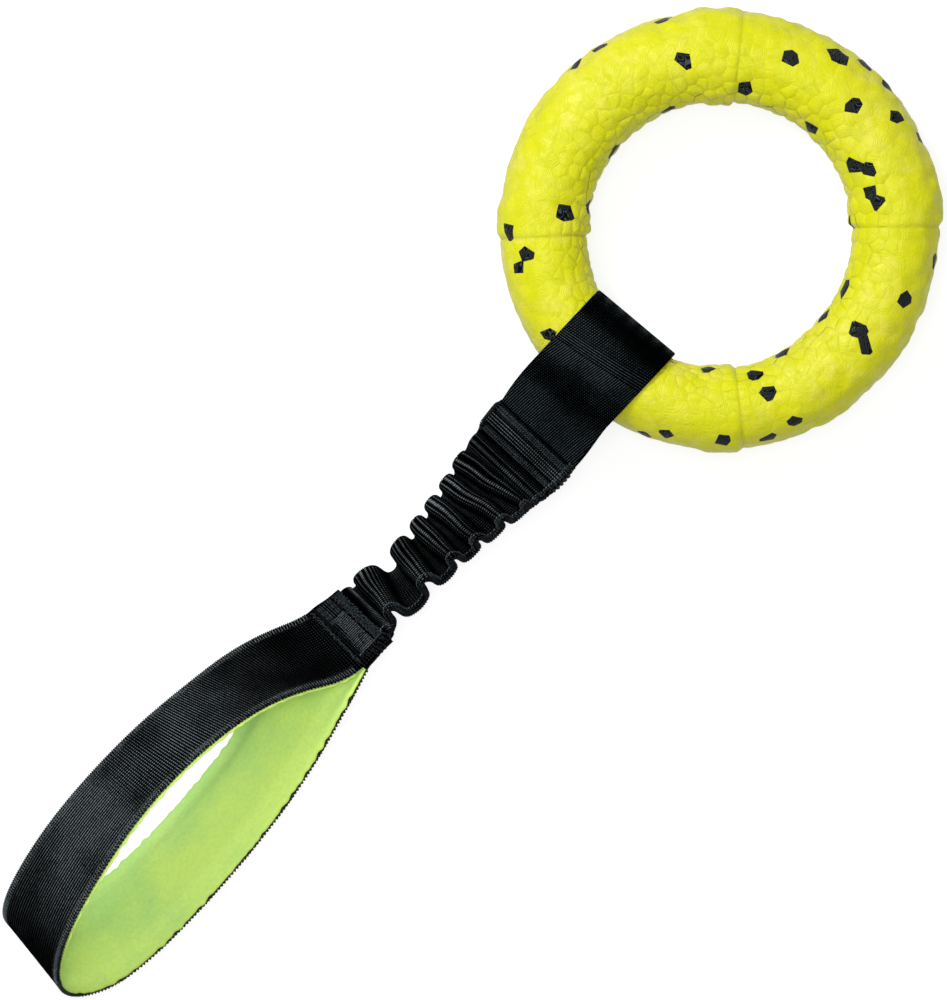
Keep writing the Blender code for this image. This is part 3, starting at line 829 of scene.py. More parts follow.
def loop_place(angle, across, out):
    """A point of the webbing round the tube, at an angle up from the side of the ring's middle.

    Webbing can't stretch sideways, so each rib stays straight: inside the ring the fold is a
    chord of the hole, and outside it the webbing lies on the middle of the tube's bend.
    """
    reach = tube_radius + loop_gap
    inside = ease((math.radians(110) - abs(angle)) / math.radians(40))
    from_middle = ring_radius + (fold_distance + reach - ring_radius - fold_skew * across) * inside
    x = ring_x - from_middle + (reach + out) * math.cos(angle)
    return Vector((x, side_at(ring_x) - across, axis_height + (reach + out) * math.sin(angle)))


def web_place(share, side, touch):
    """The free stretch between the tube and the joint, as a function of across and out."""
    def place(across, out):
        start = loop_place(side * touch, across, out)
        joint = strap_point(upper_start, across, side * (tail_side + out))
        mixed = start.lerp(joint, share)
        roll = roll_at(mixed.x)
        level = (start.z - axis_height) * (1 - share) + side * (tail_side + out) * share
        if mixed.x >= ring_x - ring_reach:
            return Vector((mixed.x, side_at(mixed.x) - across, mixed.z))
        y = side_at(mixed.x) - across * math.cos(roll) + level * math.sin(roll)
        return Vector((mixed.x, y, axis_height + across * math.sin(roll) + level * math.cos(roll)))

    return place


def ring_webbing_places():
    reach = tube_radius + loop_gap + ring_webbing_thickness / 2
    away = math.hypot(web_span, tail_side)
    touch = math.pi - math.atan2(tail_side, web_span) - math.acos(reach / away)
    step = web_rib_pitch / stations_per_rib
    tail = upper_flat_length - 0.4 * mm
    tail_steps, web_steps = round(tail / step), round(35 * mm / step)
    wrap_steps = round(2 * touch * reach / step)
    tails = [upper_start - tail + tail * i / tail_steps for i in range(tail_steps)]
    places = []
    for x in tails:
        places.append(lambda across, out, x=x: strap_point(x, across, tail_side + out))
    places += [web_place(1 - i / web_steps, 1, touch) for i in range(web_steps)]
    for i in range(wrap_steps + 1):
        angle = touch * (1 - 2 * i / wrap_steps)
        places.append(lambda across, out, angle=angle: loop_place(angle, across, out))
    places += [web_place((i + 1) / web_steps, -1, touch) for i in range(web_steps)]
    for x in reversed(tails):
        places.append(lambda across, out, x=x: strap_point(x, across, -(tail_side + out)))
    return places


def ribbed(alongs, half_width, thickness, pitch, border=0.0, border_drop=0.0):
    """Both faces of a ribbed strap with rounded selvedges, and a border that the stitches sink."""
    edge = thickness * 0.6

    def faces_at(i, across):
        left = roundness(across, half_width, edge)
        relief = rib_relief * math.cos(full_turn * alongs[i] / pitch) * left
        sunk = border_drop * ease((abs(across) - half_width + border + 0.3 * mm) / (0.6 * mm))
        return thickness / 2 * (1 - left), thickness / 2 * (1 + left) + relief - sunk

    return faces_at


places = ring_webbing_places()
alongs = run_lengths([place(0.0, 0.0) for place in places])
ring_webbing_length = alongs[-1]
alongs = [along - ring_webbing_length / 2 for along in alongs]
# How pale the webbing is at places along it, in millimetres from the fold inside the ring.
# Near the fold it climbs far past 1, a painted highlight on the webbing's bend there.
web_paleness = (
    (-80, 0.85), (-56, 0.8), (-51, 0.5), (-46, 0.5), (-42, 0.75), (-34, 0.85), (-30, 0.9),
    (-22, 1.0), (-18, 0.15), (-12.5, 0.1), (-8, 0.5), (-5, 2.5), (0, 8.0), (8, 0.5),
)


def web_tone_and_painted_light(i, across):
    return float(np.interp(alongs[i] / mm, *zip(*web_paleness)))


ring_webbing = band(
    "ring_webbing_strap", places, alongs, columns(half_webbing, 12, 0.6 * ring_webbing_thickness),
    ribbed(alongs, half_webbing, ring_webbing_thickness, web_rib_pitch), webbing_nylon,
    tone_and_painted_light_at=web_tone_and_painted_light,
)
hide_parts("ring_webbing")
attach(ring_webbing, "ring_strap")

# %% [markdown]
# ## The hand loop's path
#
# The hand loop is one flat strap bent round until its ends meet in the joint. From above its
# two bands look narrower than the strap, because they lean: each control point below has its
# place as shares of the loop's length, width and height, and its own roll.

# %% Hand loop path
loop_height = 46.0 * mm
loop_side = 20.6 * mm
floor_gap = 0.4 * mm
drawn_length = 20.0 * mm
drawn_width_share = 0.92
upper_band_shares = (
    (0.117, 0.33, 0.270, 40.5, 0.0),
    (0.258, 0.745, 0.560, 52.0, 0.0),
    (0.434, 0.97, 0.840, 52.0, 0.0),
    (0.610, 0.98, 0.930, 48.5, 0.0),
    (0.786, 0.80, 0.880, 42.5, 0.0),
    (0.909, 0.53, 0.720, 38.0, 2.0),
)
far_end_shares = (0.981, 0.05, 0.400, 28.0, 7.0)
lower_band_shares = (
    (0.914, -0.50, 0.070, 27.0, 3.0),
    (0.815, -0.675, 0.000, 27.0, 0.0),
    (0.668, -0.75, 0.000, 30.0, 0.0),
    (0.463, -0.71, 0.000, 33.0, 0.0),
    (0.317, -0.58, 0.010, 34.0, 0.0),
    (0.188, -0.36, 0.060, 33.0, 0.0),
    (0.082, -0.16, 0.110, 34.0, 0.0),
)


def handle_controls():
    """Points of the hand loop's path, each with its roll and yaw, from joint to joint."""
    controls = []
    for along, aside, up, roll, yaw in (*upper_band_shares, far_end_shares, *lower_band_shares):
        turn = math.radians(roll)
        rest = floor_gap + half_webbing * math.sin(turn) + handle_webbing_thickness * math.cos(turn)
        x = lower_end - handle_length * along
        controls.append((x, loop_side * aside, rest + loop_height * up, roll, yaw))
    joint_roll = float(strap_roll(lower_end))
    first = strap_point(lower_end, 0.0, tail_side)
    last = strap_point(lower_end, 0.0, -tail_side)
    return [(*first, joint_roll, 0.0)] + controls + [(*last, joint_roll, 0.0)]


def handle_path(count):
    """Even stations along the hand loop: place, across and outward directions, and distance."""
    controls = np.array(handle_controls())
    spans = np.linalg.norm(np.diff(controls[:, :3], axis=0), axis=1)
    knots = np.concatenate([[0], np.cumsum(spans)])
    lead = np.array([1.0 * mm, 0, 0, 0, 0])
    run_out = np.concatenate([[-1.0 * mm], knots, [knots[-1] + 1.0 * mm]])
    curve = spline(run_out, np.vstack([controls[0] + lead, controls, controls[-1] + lead]))
    fine = np.linspace(0, knots[-1], 2 * count + 1)
    samples = np.array([curve(t) for t in fine])
    run = np.concatenate([[0], np.cumsum(np.linalg.norm(np.diff(samples[:, :3], axis=0), axis=1))])
    stations = []
    step = 0.15 * mm
    for distance in np.linspace(0, run[-1], count + 1):
        t = float(np.interp(distance, run, fine))
        here = curve(t)
        ahead = Vector((curve(t + step) - curve(t - step))[:3]).normalized()
        roll, yaw = math.radians(here[3]), math.radians(here[4])
        across = Vector((
            -math.sin(yaw) * math.cos(roll), -math.cos(yaw) * math.cos(roll), math.sin(roll)
        ))
        across = (across - ahead * across.dot(ahead)).normalized()
        stations.append((Vector(here[:3]), across, ahead.cross(across), float(distance)))
    return stations


loop_steps = 1372
loop_stations = handle_path(loop_steps)
loop_length = loop_stations[-1][3]
print(f"the hand loop is {loop_length * 1000:.0f} mm round")


def loop_half_width(distance):
    """Half the loop's width, which the seam at the joint draws in a little."""
    share = ease(min(distance, loop_length - distance) / drawn_length)
    return half_webbing * (drawn_width_share + (1 - drawn_width_share) * share)


def loop_place_at(station):
    """A station of the hand loop as a function of across and out."""
    place, across, outward, distance = station
    narrow = loop_half_width(distance) / half_webbing
    return lambda a, out: place + across * a * narrow + outward * out


# %% [markdown]
# ## The hand loop's three layers
#
# Outside is the ribbed webbing, crowned a little by the padding under it. Inside is the
# lining, sewn to the webbing along both edges and pushed out between them by the padding,
# with the soft unevenness of a hand that has pulled on it.

# %% Hand loop webbing
seam_margin = 3.2 * mm
sleeve_tail_half = half_webbing * 0.88
tail_reach = lower_start - taper_length - 1.0 * mm


def handle_tail(x, side):
    """The strap's tail inside the joint, as a function of across and out."""
    narrowing = ease(2 * (x - lower_end) / lower_joint_length)
    start = drawn_width_share
    share = start + (sleeve_tail_half / half_webbing - start) * narrowing
    return lambda a, out: strap_point(x, a * share, side * (tail_side + out))


step = loop_length / loop_steps
tail_count = round((tail_reach - lower_end) / step)
tails = [tail_reach + (lower_end - tail_reach) * i / tail_count for i in range(tail_count)]
places = [handle_tail(x, 1) for x in tails]
places += [loop_place_at(station) for station in loop_stations]
places += [handle_tail(x, -1) for x in reversed(tails)]
alongs = run_lengths([place(0.0, 0.0) for place in places])


def loop_painted_light(i, across):
    """Painted light and shade: the outer face is palest half way along each band, dark at the joint and
    the far bend, and a little darker towards one edge.
    """
    distance = alongs[i] - alongs[tail_count]
    distance = min(distance, loop_length - distance)
    middle = ease((distance - 22 * mm) / (60 * mm)) * ease((182 * mm - distance) / (52 * mm))
    return 0.13 + 0.87 * middle - 0.12 * middle * across / half_webbing


border_drop = 0.14 * mm
border_marks = [half_webbing - seam_margin + s * mm for s in (-0.35, 0.0, 0.35)]
handle_webbing = band(
    "hand_loop_webbing", places, alongs,
    columns(half_webbing, 14, 0.6 * handle_webbing_thickness, border_marks),
    ribbed(alongs, half_webbing, handle_webbing_thickness, rib_pitch, seam_margin, border_drop),
    loop_nylon, tone_and_painted_light_at=loop_painted_light,
)
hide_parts("handle_webbing")
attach(handle_webbing, "handle")

# %% Hand loop lining and padding
lining_start = 5.0 * mm
padding_start = 8.0 * mm
padding_ramp = 9.0 * mm
lining_overhang = 0.1 * mm
lining_half = half_webbing + lining_overhang


def padding_room(distance, across):
    """How far the padding holds the lining off the webbing."""
    along = min(distance, loop_length - distance)
    inside = max(0.0, half_webbing - seam_margin - abs(across))
    swell = ease(inside / (6.0 * mm)) * ease((along - padding_start) / padding_ramp)
    return (padding_thickness + 0.3 * mm) * swell


def soft_lumps(point, size, height):
    return height * noise.noise(point / size)


def lining_faces(station, across):
    place, aside, outward, distance = station
    here = place + aside * across
    left = roundness(across, lining_half, lining_thickness * 0.6)
    room = layer_gap + padding_room(distance, across)
    lumps = soft_lumps(here, 16 * mm, 0.30 * mm) + soft_lumps(here, 5 * mm, 0.10 * mm)
    free = ease((lining_half - abs(across)) / (4 * mm))
    middle = room + lining_thickness / 2 + max(0.0, lumps) * free
    return -middle - lining_thickness / 2 * left, -middle + lining_thickness / 2 * left


def lining_place(station):
    """The loop's place with the lining's cut edge a little ragged, and showing past the upper band."""
    ragged = 1 + soft_lumps(Vector((station[3], 0, 0)), 3.0 * mm, 0.045)
    showing = 1 + 0.03 * ease((loop_length / 2 - station[3]) / (20 * mm))
    plain = loop_place_at(station)
    return lambda a, out: plain(a * ragged * (showing if a > 0 else 1), out)


lining_stations = [
    s for s in loop_stations[::3] if lining_start <= s[3] <= loop_length - lining_start
]
handle_lining = band(
    "hand_loop_lining", [lining_place(s) for s in lining_stations],
    [s[3] for s in lining_stations], columns(lining_half, 26, 0.6 * lining_thickness),
    lambda i, across: lining_faces(lining_stations[i], across), lining_knit,
)
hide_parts("handle_lining")
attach(handle_lining, "handle")

padding_stations = [
    s for s in loop_stations[::8]
    if padding_start + 2 * mm <= s[3] <= loop_length - padding_start - 2 * mm
]


def padding_faces(i, across):
    room = padding_room(padding_stations[i][3], across)
    return -max(room - 0.1 * mm, 0.2 * mm), -0.1 * mm


handle_padding = band(
    "hand_loop_padding", [loop_place_at(s) for s in padding_stations],
    [s[3] for s in padding_stations],
    columns(half_webbing - seam_margin - 0.6 * mm, 10, 0.8 * mm), padding_faces, pad_wadding,
)
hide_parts("handle_padding")
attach(handle_padding, "handle")

# %% [markdown]
# ## The gathered sleeve
#
# The sleeve is a flat tube of the same tape, sewn at rest length over stretched elastic.
# When the elastic lets go, the tape has nowhere to go but up and down, in even folds. The
# fold line is a squared-off wave, and both plies keep their distance from it. The tape
# crosses three joints, so each ply is cut into three pieces at the bottom of a fold.

# %% Fold line
fold_height = 5.0 * mm
fold_squareness = 0.86
steps_per_side_of_fold = 20
wall_share = 0.43
roll_spread = 0.05
fold_shares = (0.085, 0.155, 0.225, 0.300, 0.372, 0.445, 0.518, 0.600, 0.682, 0.802, 0.930)
fold_height_shares = (0.90, -0.95, 1.0, -1.0, 1.0, -1.0, 1.0, -1.05, 1.05, -1.40, 1.45)
fold_lean = 0.22
ring_end_fold = 1
hand_end_fold = 9
# The low ridges beside the joints: how far in from the sleeve's end they lie, and their heights.
upper_ridge_places = (13.4 * mm, 14.9 * mm, 18.2 * mm, 21.6 * mm)
upper_ridge_heights = (0.0, -0.5 * mm, 2.0 * mm, -0.8 * mm)
lower_ridge_places = (15.2 * mm, 13.4 * mm, 11.9 * mm)
lower_ridge_heights = (-0.5 * mm, 0.7 * mm, 0.0)
width_places = (
    lower_end, lower_start - lower_joint_length * 0.4, lower_start + gathered_length * 0.06,
    lower_start + gathered_length * 0.33, lower_start + gathered_length * 0.57,
    lower_start + gathered_length * 0.73, lower_start + gathered_length * 0.88,
    upper_end + upper_joint_length * 0.15, upper_start,
)
sleeve_width_shares = (0.85, 0.82, 0.62, 0.59, 0.67, 0.75, 0.86, 0.99, 1.03)
sleeve_share = spline(width_places, sleeve_width_shares, clamped=True)


def sleeve_half_width(x):
    return float(sleeve_share(x)) * half_webbing


def ply_half_width(x):
    """Half a ply's width, which leaves the sleeve's very edge to the thread round it."""
    return sleeve_half_width(x) - 0.5 * mm


def fold_line():
    """Stations along the sleeve's middle line, and where its two cuts fall among them."""
    places = [upper_start - d for d in upper_ridge_places]
    places += [upper_end - gathered_length * s for s in fold_shares]
    places += [lower_end + d for d in lower_ridge_places]
    heights = [*upper_ridge_heights, *[fold_height * s for s in fold_height_shares]]
    heights += lower_ridge_heights
    steps = steps_per_side_of_fold
    joint_steps = 70
    pull = math.log(wall_share) / math.log(0.5)
    line = [
        (upper_start + (places[0] - upper_start) * i / joint_steps, 0.0) for i in range(joint_steps)
    ]
    cuts = []
    for k in range(len(places) - 1):
        if k - len(upper_ridge_places) in (ring_end_fold, hand_end_fold):
            cuts.append(len(line))
        gap = abs(heights[k] - heights[k + 1]) / (2 * fold_height)
        squareness = fold_squareness * min(1.0, 1.3 * gap)
        for i in range(steps):
            u = i / steps
            run = u + squareness * math.sin(full_turn * u) / full_turn
            run = run**pull if heights[k] > heights[k + 1] else 1 - (1 - run) ** pull
            level = (1 + math.cos(math.pi * u)) / 2
            x = places[k] + (places[k + 1] - places[k]) * run
            line.append((x, heights[k] * level + heights[k + 1] * (1 - level)))
    line += [
        (places[-1] + (lower_end - places[-1]) * i / joint_steps, 0.0) for i in range(joint_steps + 1)
    ]
    stations = []
    run = 0.0
    for i, (x, out) in enumerate(line):
        before, after = line[max(i - 1, 0)], line[min(i + 1, len(line) - 1)]
        dx, dn = after[0] - before[0], after[1] - before[1]
        size = math.hypot(dx, dn)
        if i:
            run += math.hypot(x - line[i - 1][0], out - line[i - 1][1])
        stations.append((x, out, dn / size, -dx / size, run))
    return stations, cuts


folds, fold_cuts = fold_line()
print(f"the sleeve is {folds[-1][4] * 1000:.0f} mm long unfolded, with cuts at {fold_cuts}")

# %% Sleeve surface
# Strips across each joint: where each starts and ends from the sleeve's end, its rise, how pale.
# Between the strips the sleeve stays near black, a painted shadow.
upper_strips = (
    (1.3 * mm, 4.5 * mm, 0.6 * mm, 0.22), (4.6 * mm, 9.8 * mm, 0.0, 0.6),
    (10.3 * mm, 13.2 * mm, 0.5 * mm, 0.3), (16.2 * mm, 20.4 * mm, 0.0, 0.45),
)
lower_strips = (
    (0.3 * mm, 7.6 * mm, 0.3 * mm, 0.1), (8.4 * mm, 12.2 * mm, 0.35 * mm, 0.15),
    (12.4 * mm, 14.6 * mm, 0.0, 0.5),
)
joint_rib_pitch = 0.95 * mm


def joint_strips(x, value):
    """The sum at a place of the strips' rises or palenesses across each joint."""
    total = 0.0
    for end, inward, strips in ((upper_start, -1, upper_strips), (lower_end, 1, lower_strips)):
        along = (x - end) * inward
        for strip in strips:
            inside = ease((along - strip[0]) / (0.6 * mm)) * ease((strip[1] - along) / (0.6 * mm))
            total += strip[value] * inside
    return total


def joint_relief(x):
    """The rise of the sleeve's outer face over the strips and ribs across each joint."""
    along = min(upper_start - x, x - lower_end)
    ribs = 0.07 * mm if 0 <= along <= upper_flat_length else 0.0
    return joint_strips(x, 2) + ribs * math.cos(full_turn * along / joint_rib_pitch)


def lean_at(x):
    """How far the folds lean along the strap for each unit across it."""
    share = (upper_end - x) / gathered_length
    if not 0 < share < 1:
        return 0.0
    return fold_lean * math.cos(math.pi * share) * min(1.0, 8 * share, 8 * (1 - share))


def gathered_part(x):
    """1 in the middle of the gathers, easing to 0 at both joints."""
    return ease((upper_end - x) / (6 * mm)) * ease((x - lower_start) / (6 * mm))


def cloth_point(station, across, offset):
    """A point of the sleeve, with the small puckers that make one fold unlike the next."""
    x, out, normal_x, normal_out, run = station
    free = gathered_part(x)
    spot = Vector((x / (7 * mm), across / (11 * mm), 1.7))
    drift = 1.1 * mm * noise.noise(spot) * free
    swell = 0.7 * mm * noise.noise(spot * 1.3 + Vector((9, 4, 2))) * free
    place = strap_point(x + normal_x * offset + drift, across, out + normal_out * offset + swell)
    place.x += lean_at(x) * across - roll_spread * across * normal_x * free
    return place


def ply_side(x):
    """How far a sleeve ply's inner face lies from the middle surface."""
    upper = ease((x - upper_start + upper_flat_length + 2.0 * mm) / (2.0 * mm))
    lower = ease((lower_start - x) / taper_length)
    return tail_side + (upper_ply_side - tail_side) * upper + (lower_ply_side - tail_side) * lower


edge_room = 0.45 * mm


def sleeve_faces(station, across, half):
    """Inner and outer distance of one ply, which closes in on the other at both edges."""
    x = station[0]
    share = min(1.0, abs(across) / half)
    free = gathered_part(x)
    reach = ply_side(x)
    closing = free * share**6
    inner = reach + (edge_room - reach) * closing
    left = roundness(across, half, 0.5 * mm)
    return inner, inner + (sleeve_thickness + joint_relief(x)) * left


def sleeve_ply(name, side, stations):
    """One piece of one ply, over some stations of the fold line."""
    narrows = [ply_half_width(s[0]) / half_webbing for s in stations]
    places = []
    for s, narrow in zip(stations, narrows):
        places.append(lambda a, out, s=s, n=narrow: cloth_point(s, a * n, side * out))

    def faces_at(i, across):
        return sleeve_faces(stations[i], across, half_webbing)

    def tone_and_painted_light_at(i, across):
        """Painted light and shade: pale on the ridges and at their far ends, near black in the troughs
        and on steep sides; at the joints, each strip's tone.
        """
        x, out, _, normal_out, _ = stations[i]
        free = gathered_part(x)
        # Painted light: higher and flatter parts of a fold are paler, and so is one edge.
        painted_highlight = ease(0.5 + 0.55 * side * out / fold_height)
        flat = 0.12 + 0.88 * abs(normal_out) ** 1.4
        fold = (0.4 + 0.6 * painted_highlight) * flat * (0.85 - 0.3 * across / half_webbing)
        return (1 - free) * (0.06 + joint_strips(x, 3)) + free * fold

    return band(
        name, places, [s[4] for s in stations], columns(half_webbing, 30, 1.2 * mm),
        faces_at, sleeve_nylon, narrows, tone_and_painted_light_at,
    )


hinge_room = 3.0 * mm
stretch_room = 5.0 * mm
ring_cut, hand_cut = fold_cuts
ring_cut_x, hand_cut_x = folds[ring_cut][0], folds[hand_cut][0]
# Each span: its stations, the two bodies on either side of it, and where its bend would start and end.
sleeve_spans = (
    ("ring_end", folds[:ring_cut + 1], "sleeve", "ring_strap",
     ring_cut_x + stretch_room, upper_end + hinge_room),
    ("middle", folds[ring_cut:hand_cut + 1], "elastic", "sleeve",
     hand_cut_x + stretch_room, ring_cut_x - stretch_room),
    ("hand_end", folds[hand_cut:], "handle", "elastic",
     lower_start - hinge_room, hand_cut_x - stretch_room),
)


def bend_with(piece, span):
    """Bakes a piece of the sleeve's transform into its mesh; it doesn't follow any joint."""
    _, _, body_a, body_b, start, end = span
    low = (start, side_at(start), axis_height)
    high = (end, side_at(start), axis_height)
    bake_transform(piece)


sleeve_pieces = []
for ply, side, node in (("top", 1, "sleeve_front"), ("under", -1, "sleeve_back")):
    for span in sleeve_spans:
        piece = sleeve_ply(f"sleeve_{ply}_{span[0]}", side, span[1])
        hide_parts(node)
        bend_with(piece, span)
        sleeve_pieces.append((piece, span))

for span in sleeve_spans:
    stations = [s for s in span[1] if lower_end + 2 * mm < s[0] < upper_start - 2 * mm]
    piece = band(
        f"elastic_{span[0]}",
        [lambda a, out, s=s: cloth_point(s, a, out) for s in stations],
        [s[4] for s in stations], columns(elastic_width / 2, 8, 0.4 * mm),
        lambda i, across: (-elastic_thickness / 2, elastic_thickness / 2), elastic_rubber,
    )
    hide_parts("elastic_core")
    bend_with(piece, span)

# %% [markdown]
# ## Stitches
#
# A row of stitches is one small loop of thread repeated along a line, so it is grown with
# Geometry Nodes. The line carries the cloth's normal at each point. The tree resamples the
# line at the stitch pitch, sets an arched bit of thread on each point, turns it to lie along
# the line or slanting across it, and makes the copies real.


# %% Stitch tree
def start_tree(name, sizes):
    """A Geometry Nodes tree with a geometry input, named sizes and a material."""
    tree = bpy.data.node_groups.new(name, "GeometryNodeTree")
    tree.interface.new_socket("Geometry", in_out="INPUT", socket_type="NodeSocketGeometry")
    for size, value in sizes.items():
        socket = tree.interface.new_socket(size, in_out="INPUT", socket_type="NodeSocketFloat")
        socket.default_value = value
    tree.interface.new_socket("Material", in_out="INPUT", socket_type="NodeSocketMaterial")
    tree.interface.new_socket("Geometry", in_out="OUTPUT", socket_type="NodeSocketGeometry")
    return tree, add(tree, "NodeGroupInput").outputs


def thread_along(tree, given, path, sides, capped):
    """A path of the tree's thread, as a tube with a few sides."""
    radius = add(tree, MATH, (given["Thread"], 0.5), operation="MULTIPLY")
    profile = add(tree, "GeometryNodeCurvePrimitiveCircle", {"Resolution": sides, "Radius": radius})
    return add(tree, "GeometryNodeCurveToMesh", {
        "Curve": path, "Profile Curve": profile, "Fill Caps": capped,
    })


def place_copies(tree, given, shape):
    """Sets copies of a shape along the input's lines, on their normals, and makes them real."""
    line = add(tree, "GeometryNodeMeshToCurve", (given["Geometry"],))
    dots = add(
        tree, "GeometryNodeResampleCurve", {"Curve": line, "Length": given["Pitch"]}, mode="LENGTH"
    )
    tangent = add(tree, "GeometryNodeInputTangent")
    normal = add(
        tree, "GeometryNodeInputNamedAttribute", {"Name": "cloth_normal"}, data_type="FLOAT_VECTOR"
    )
    align = "FunctionNodeAlignRotationToVector"
    along = add(tree, align, {"Vector": tangent}, axis="X")
    upright = add(tree, align, {"Rotation": along, "Vector": normal}, axis="Z", pivot_axis="X")
    loose = add(
        tree, "FunctionNodeRandomValue", {"Min": -1.0, "Max": 1.0, "Seed": 5}, data_type="FLOAT"
    )
    loose_turn = next(s for s in loose.outputs if s.enabled)
    angle = add(tree, MATH, (loose_turn, given["Looseness"], given["Slant"]), operation="MULTIPLY_ADD")
    turned = add(tree, "ShaderNodeCombineXYZ", {"Z": angle})
    spin = add(tree, "FunctionNodeEulerToRotation", (turned,))
    final = add(
        tree, "FunctionNodeRotateRotation", {"Rotation": upright, "Rotate By": spin},
        rotation_space="LOCAL",
    )
    copies = add(tree, "GeometryNodeInstanceOnPoints", {
        "Points": dots, "Instance": shape, "Rotation": final,
    })
    real = add(tree, "GeometryNodeRealizeInstances", (copies,))
    finished = add(tree, "GeometryNodeSetMaterial", {"Geometry": real, "Material": given["Material"]})
    add(tree, "NodeGroupOutput", (finished,))


stitch_sizes = {
    "Pitch": 3.0 * mm, "Length": 2.4 * mm, "Height": 0.5 * mm, "Thread": 0.5 * mm,
    "Slant": 0.0, "Looseness": 0.0,
}
stitch_tree, given = start_tree("arched_stitches", stitch_sizes)
half_length = add(stitch_tree, MATH, (given["Length"], 0.5), operation="MULTIPLY")
back = add(stitch_tree, MATH, (half_length, -1.0), operation="MULTIPLY")
sunk = add(stitch_tree, MATH, (given["Thread"], -0.5), operation="MULTIPLY")
ends = [
    add(stitch_tree, "ShaderNodeCombineXYZ", {"X": x, "Z": z})
    for x, z in ((back, sunk), (0.0, given["Height"]), (half_length, sunk))
]
arch = add(stitch_tree, "GeometryNodeCurveQuadraticBezier", {
    "Resolution": 5, "Start": ends[0], "Middle": ends[1], "End": ends[2],
})
place_copies(stitch_tree, given, thread_along(stitch_tree, given, arch, 6, True))
print(stitch_tree.name, len(stitch_tree.nodes), "nodes")

# %% [markdown]
# Overlock stitches wrap the edge instead. Their copy is a closed loop of thread round the
# edge, tilted a little so that a row of them looks like a twisted cord.

# %% Edge loop tree
loop_sizes = {
    "Pitch": 1.4 * mm, "Reach": 0.9 * mm, "Depth": 1.2 * mm, "Thread": 0.45 * mm,
    "Slant": 0.4, "Looseness": 0.1,
}
edge_tree, given = start_tree("edge_loops", loop_sizes)
circle = add(edge_tree, "GeometryNodeCurvePrimitiveCircle", {"Resolution": 12, "Radius": 1.0})
stretch = add(edge_tree, "ShaderNodeCombineXYZ", (given["Depth"], given["Reach"], 1.0))
oval = add(edge_tree, "GeometryNodeTransform", {
    "Geometry": circle, "Scale": stretch, "Rotation": (0.0, math.pi / 2, 0.0),
})
place_copies(edge_tree, given, thread_along(edge_tree, given, oval, 5, False))
print(edge_tree.name, len(edge_tree.nodes), "nodes")

# %% [markdown]
# A tree runs along lines of points with normals. The stitches that come out are a piece of
# their own, which moves with a body, or, when sewn to the sleeve, keeps its place.


# %% Sewing
def grow(name, lines, tree, finish, sizes):
    """Runs a tree along lines of points with normals, and returns the plain mesh that it grows."""
    points, normals, edges = [], [], []
    for line in lines:
        edges += [(len(points) + i, len(points) + i + 1) for i in range(len(line) - 1)]
        points += [point for point, _ in line]
        normals += [c for _, normal in line for c in normal]
    mesh = bpy.data.meshes.new(name)
    mesh.from_pydata(points, edges, [])
    mesh.attributes.new("cloth_normal", "FLOAT_VECTOR", "POINT").data.foreach_set("vector", normals)
    guide = put(name, mesh)
    modifier = guide.modifiers.new("grown", "NODES")
    modifier.node_group = tree
    sockets = {s.name: s.identifier for s in tree.interface.items_tree if s.in_out == "INPUT"}
    for size, value in sizes.items():
        scale = 1.0 if size in ("slant", "looseness") else mm
        modifier[sockets[size.capitalize()]] = value * scale
    modifier[sockets["Material"]] = finish
    evaluated = guide.evaluated_get(bpy.context.evaluated_depsgraph_get())
    grown = bpy.data.meshes.new_from_object(evaluated)
    guide.modifiers.clear()
    guide.data = grown
    grown.shade_smooth()
    print(name, len(grown.polygons), "faces")
    return guide


def sew(name, lines, tree, finish, holder, node=None, **sizes):
    """Grows a piece of stitches. Its sizes are in millimetres, its slant and looseness in radians.

    holder is the body that it rides on, or the span of the sleeve that it is sewn to, and node
    is the solid that it stands for.
    """
    piece = grow(name, lines, tree, finish, sizes)
    if node:
        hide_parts(node)
    if isinstance(holder, str):
        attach(piece, holder)
    else:
        bend_with(piece, holder)


def with_normal(place, out=0.0):
    """The point of a place at a distance out, and the cloth's normal there."""
    point = place(out)
    return point, (place(out + mm) - point).normalized()


# %% [markdown]
# ## Sewing the hand loop
#
# Along each edge of the hand loop run a straight row 3 mm in, short stitches from that row
# to the edge, and small loops over the edge itself, which give it its fine teeth.

# %% Hand loop seams
fine_stations = loop_stations[::4]


def loop_line(across, out, first=lining_start):
    """A line along the hand loop at a place across and out, with the cloth's normals."""
    last = loop_length - lining_start
    return [
        (loop_place_at(s)(across, out), s[2]) for s in fine_stations if first <= s[3] <= last
    ]


surface = handle_webbing_thickness - 0.1 * mm
edge_teeth = {
    "near": dict(pitch=1.6, reach=0.16, depth=0.6, slant=1.1, thread=0.5),
    "far": dict(pitch=0.9, reach=0.08, depth=0.55, slant=0.2, thread=0.45),
}
for edge, sign in (("near", 1), ("far", -1)):
    sew(
        f"hand_loop_row_{edge}", [loop_line(sign * (half_webbing - seam_margin), surface)],
        stitch_tree, black_thread, "handle", f"handle_seam_{edge}",
        pitch=2.8, length=2.4, height=0.35, thread=0.38,
    )
    sew(
        f"hand_loop_border_{edge}", [loop_line(sign * (half_webbing - 1.6 * mm), surface)],
        stitch_tree, shiny_thread, "handle",
        pitch=1.2, length=2.4, height=0.3, thread=0.42, slant=1.5, looseness=0.1,
    )
    sew(
        f"hand_loop_teeth_{edge}",
        [loop_line(sign * (half_webbing - 0.2 * mm), handle_webbing_thickness * 0.5)],
        edge_tree, black_thread, "handle", looseness=0.3, **edge_teeth[edge],
    )

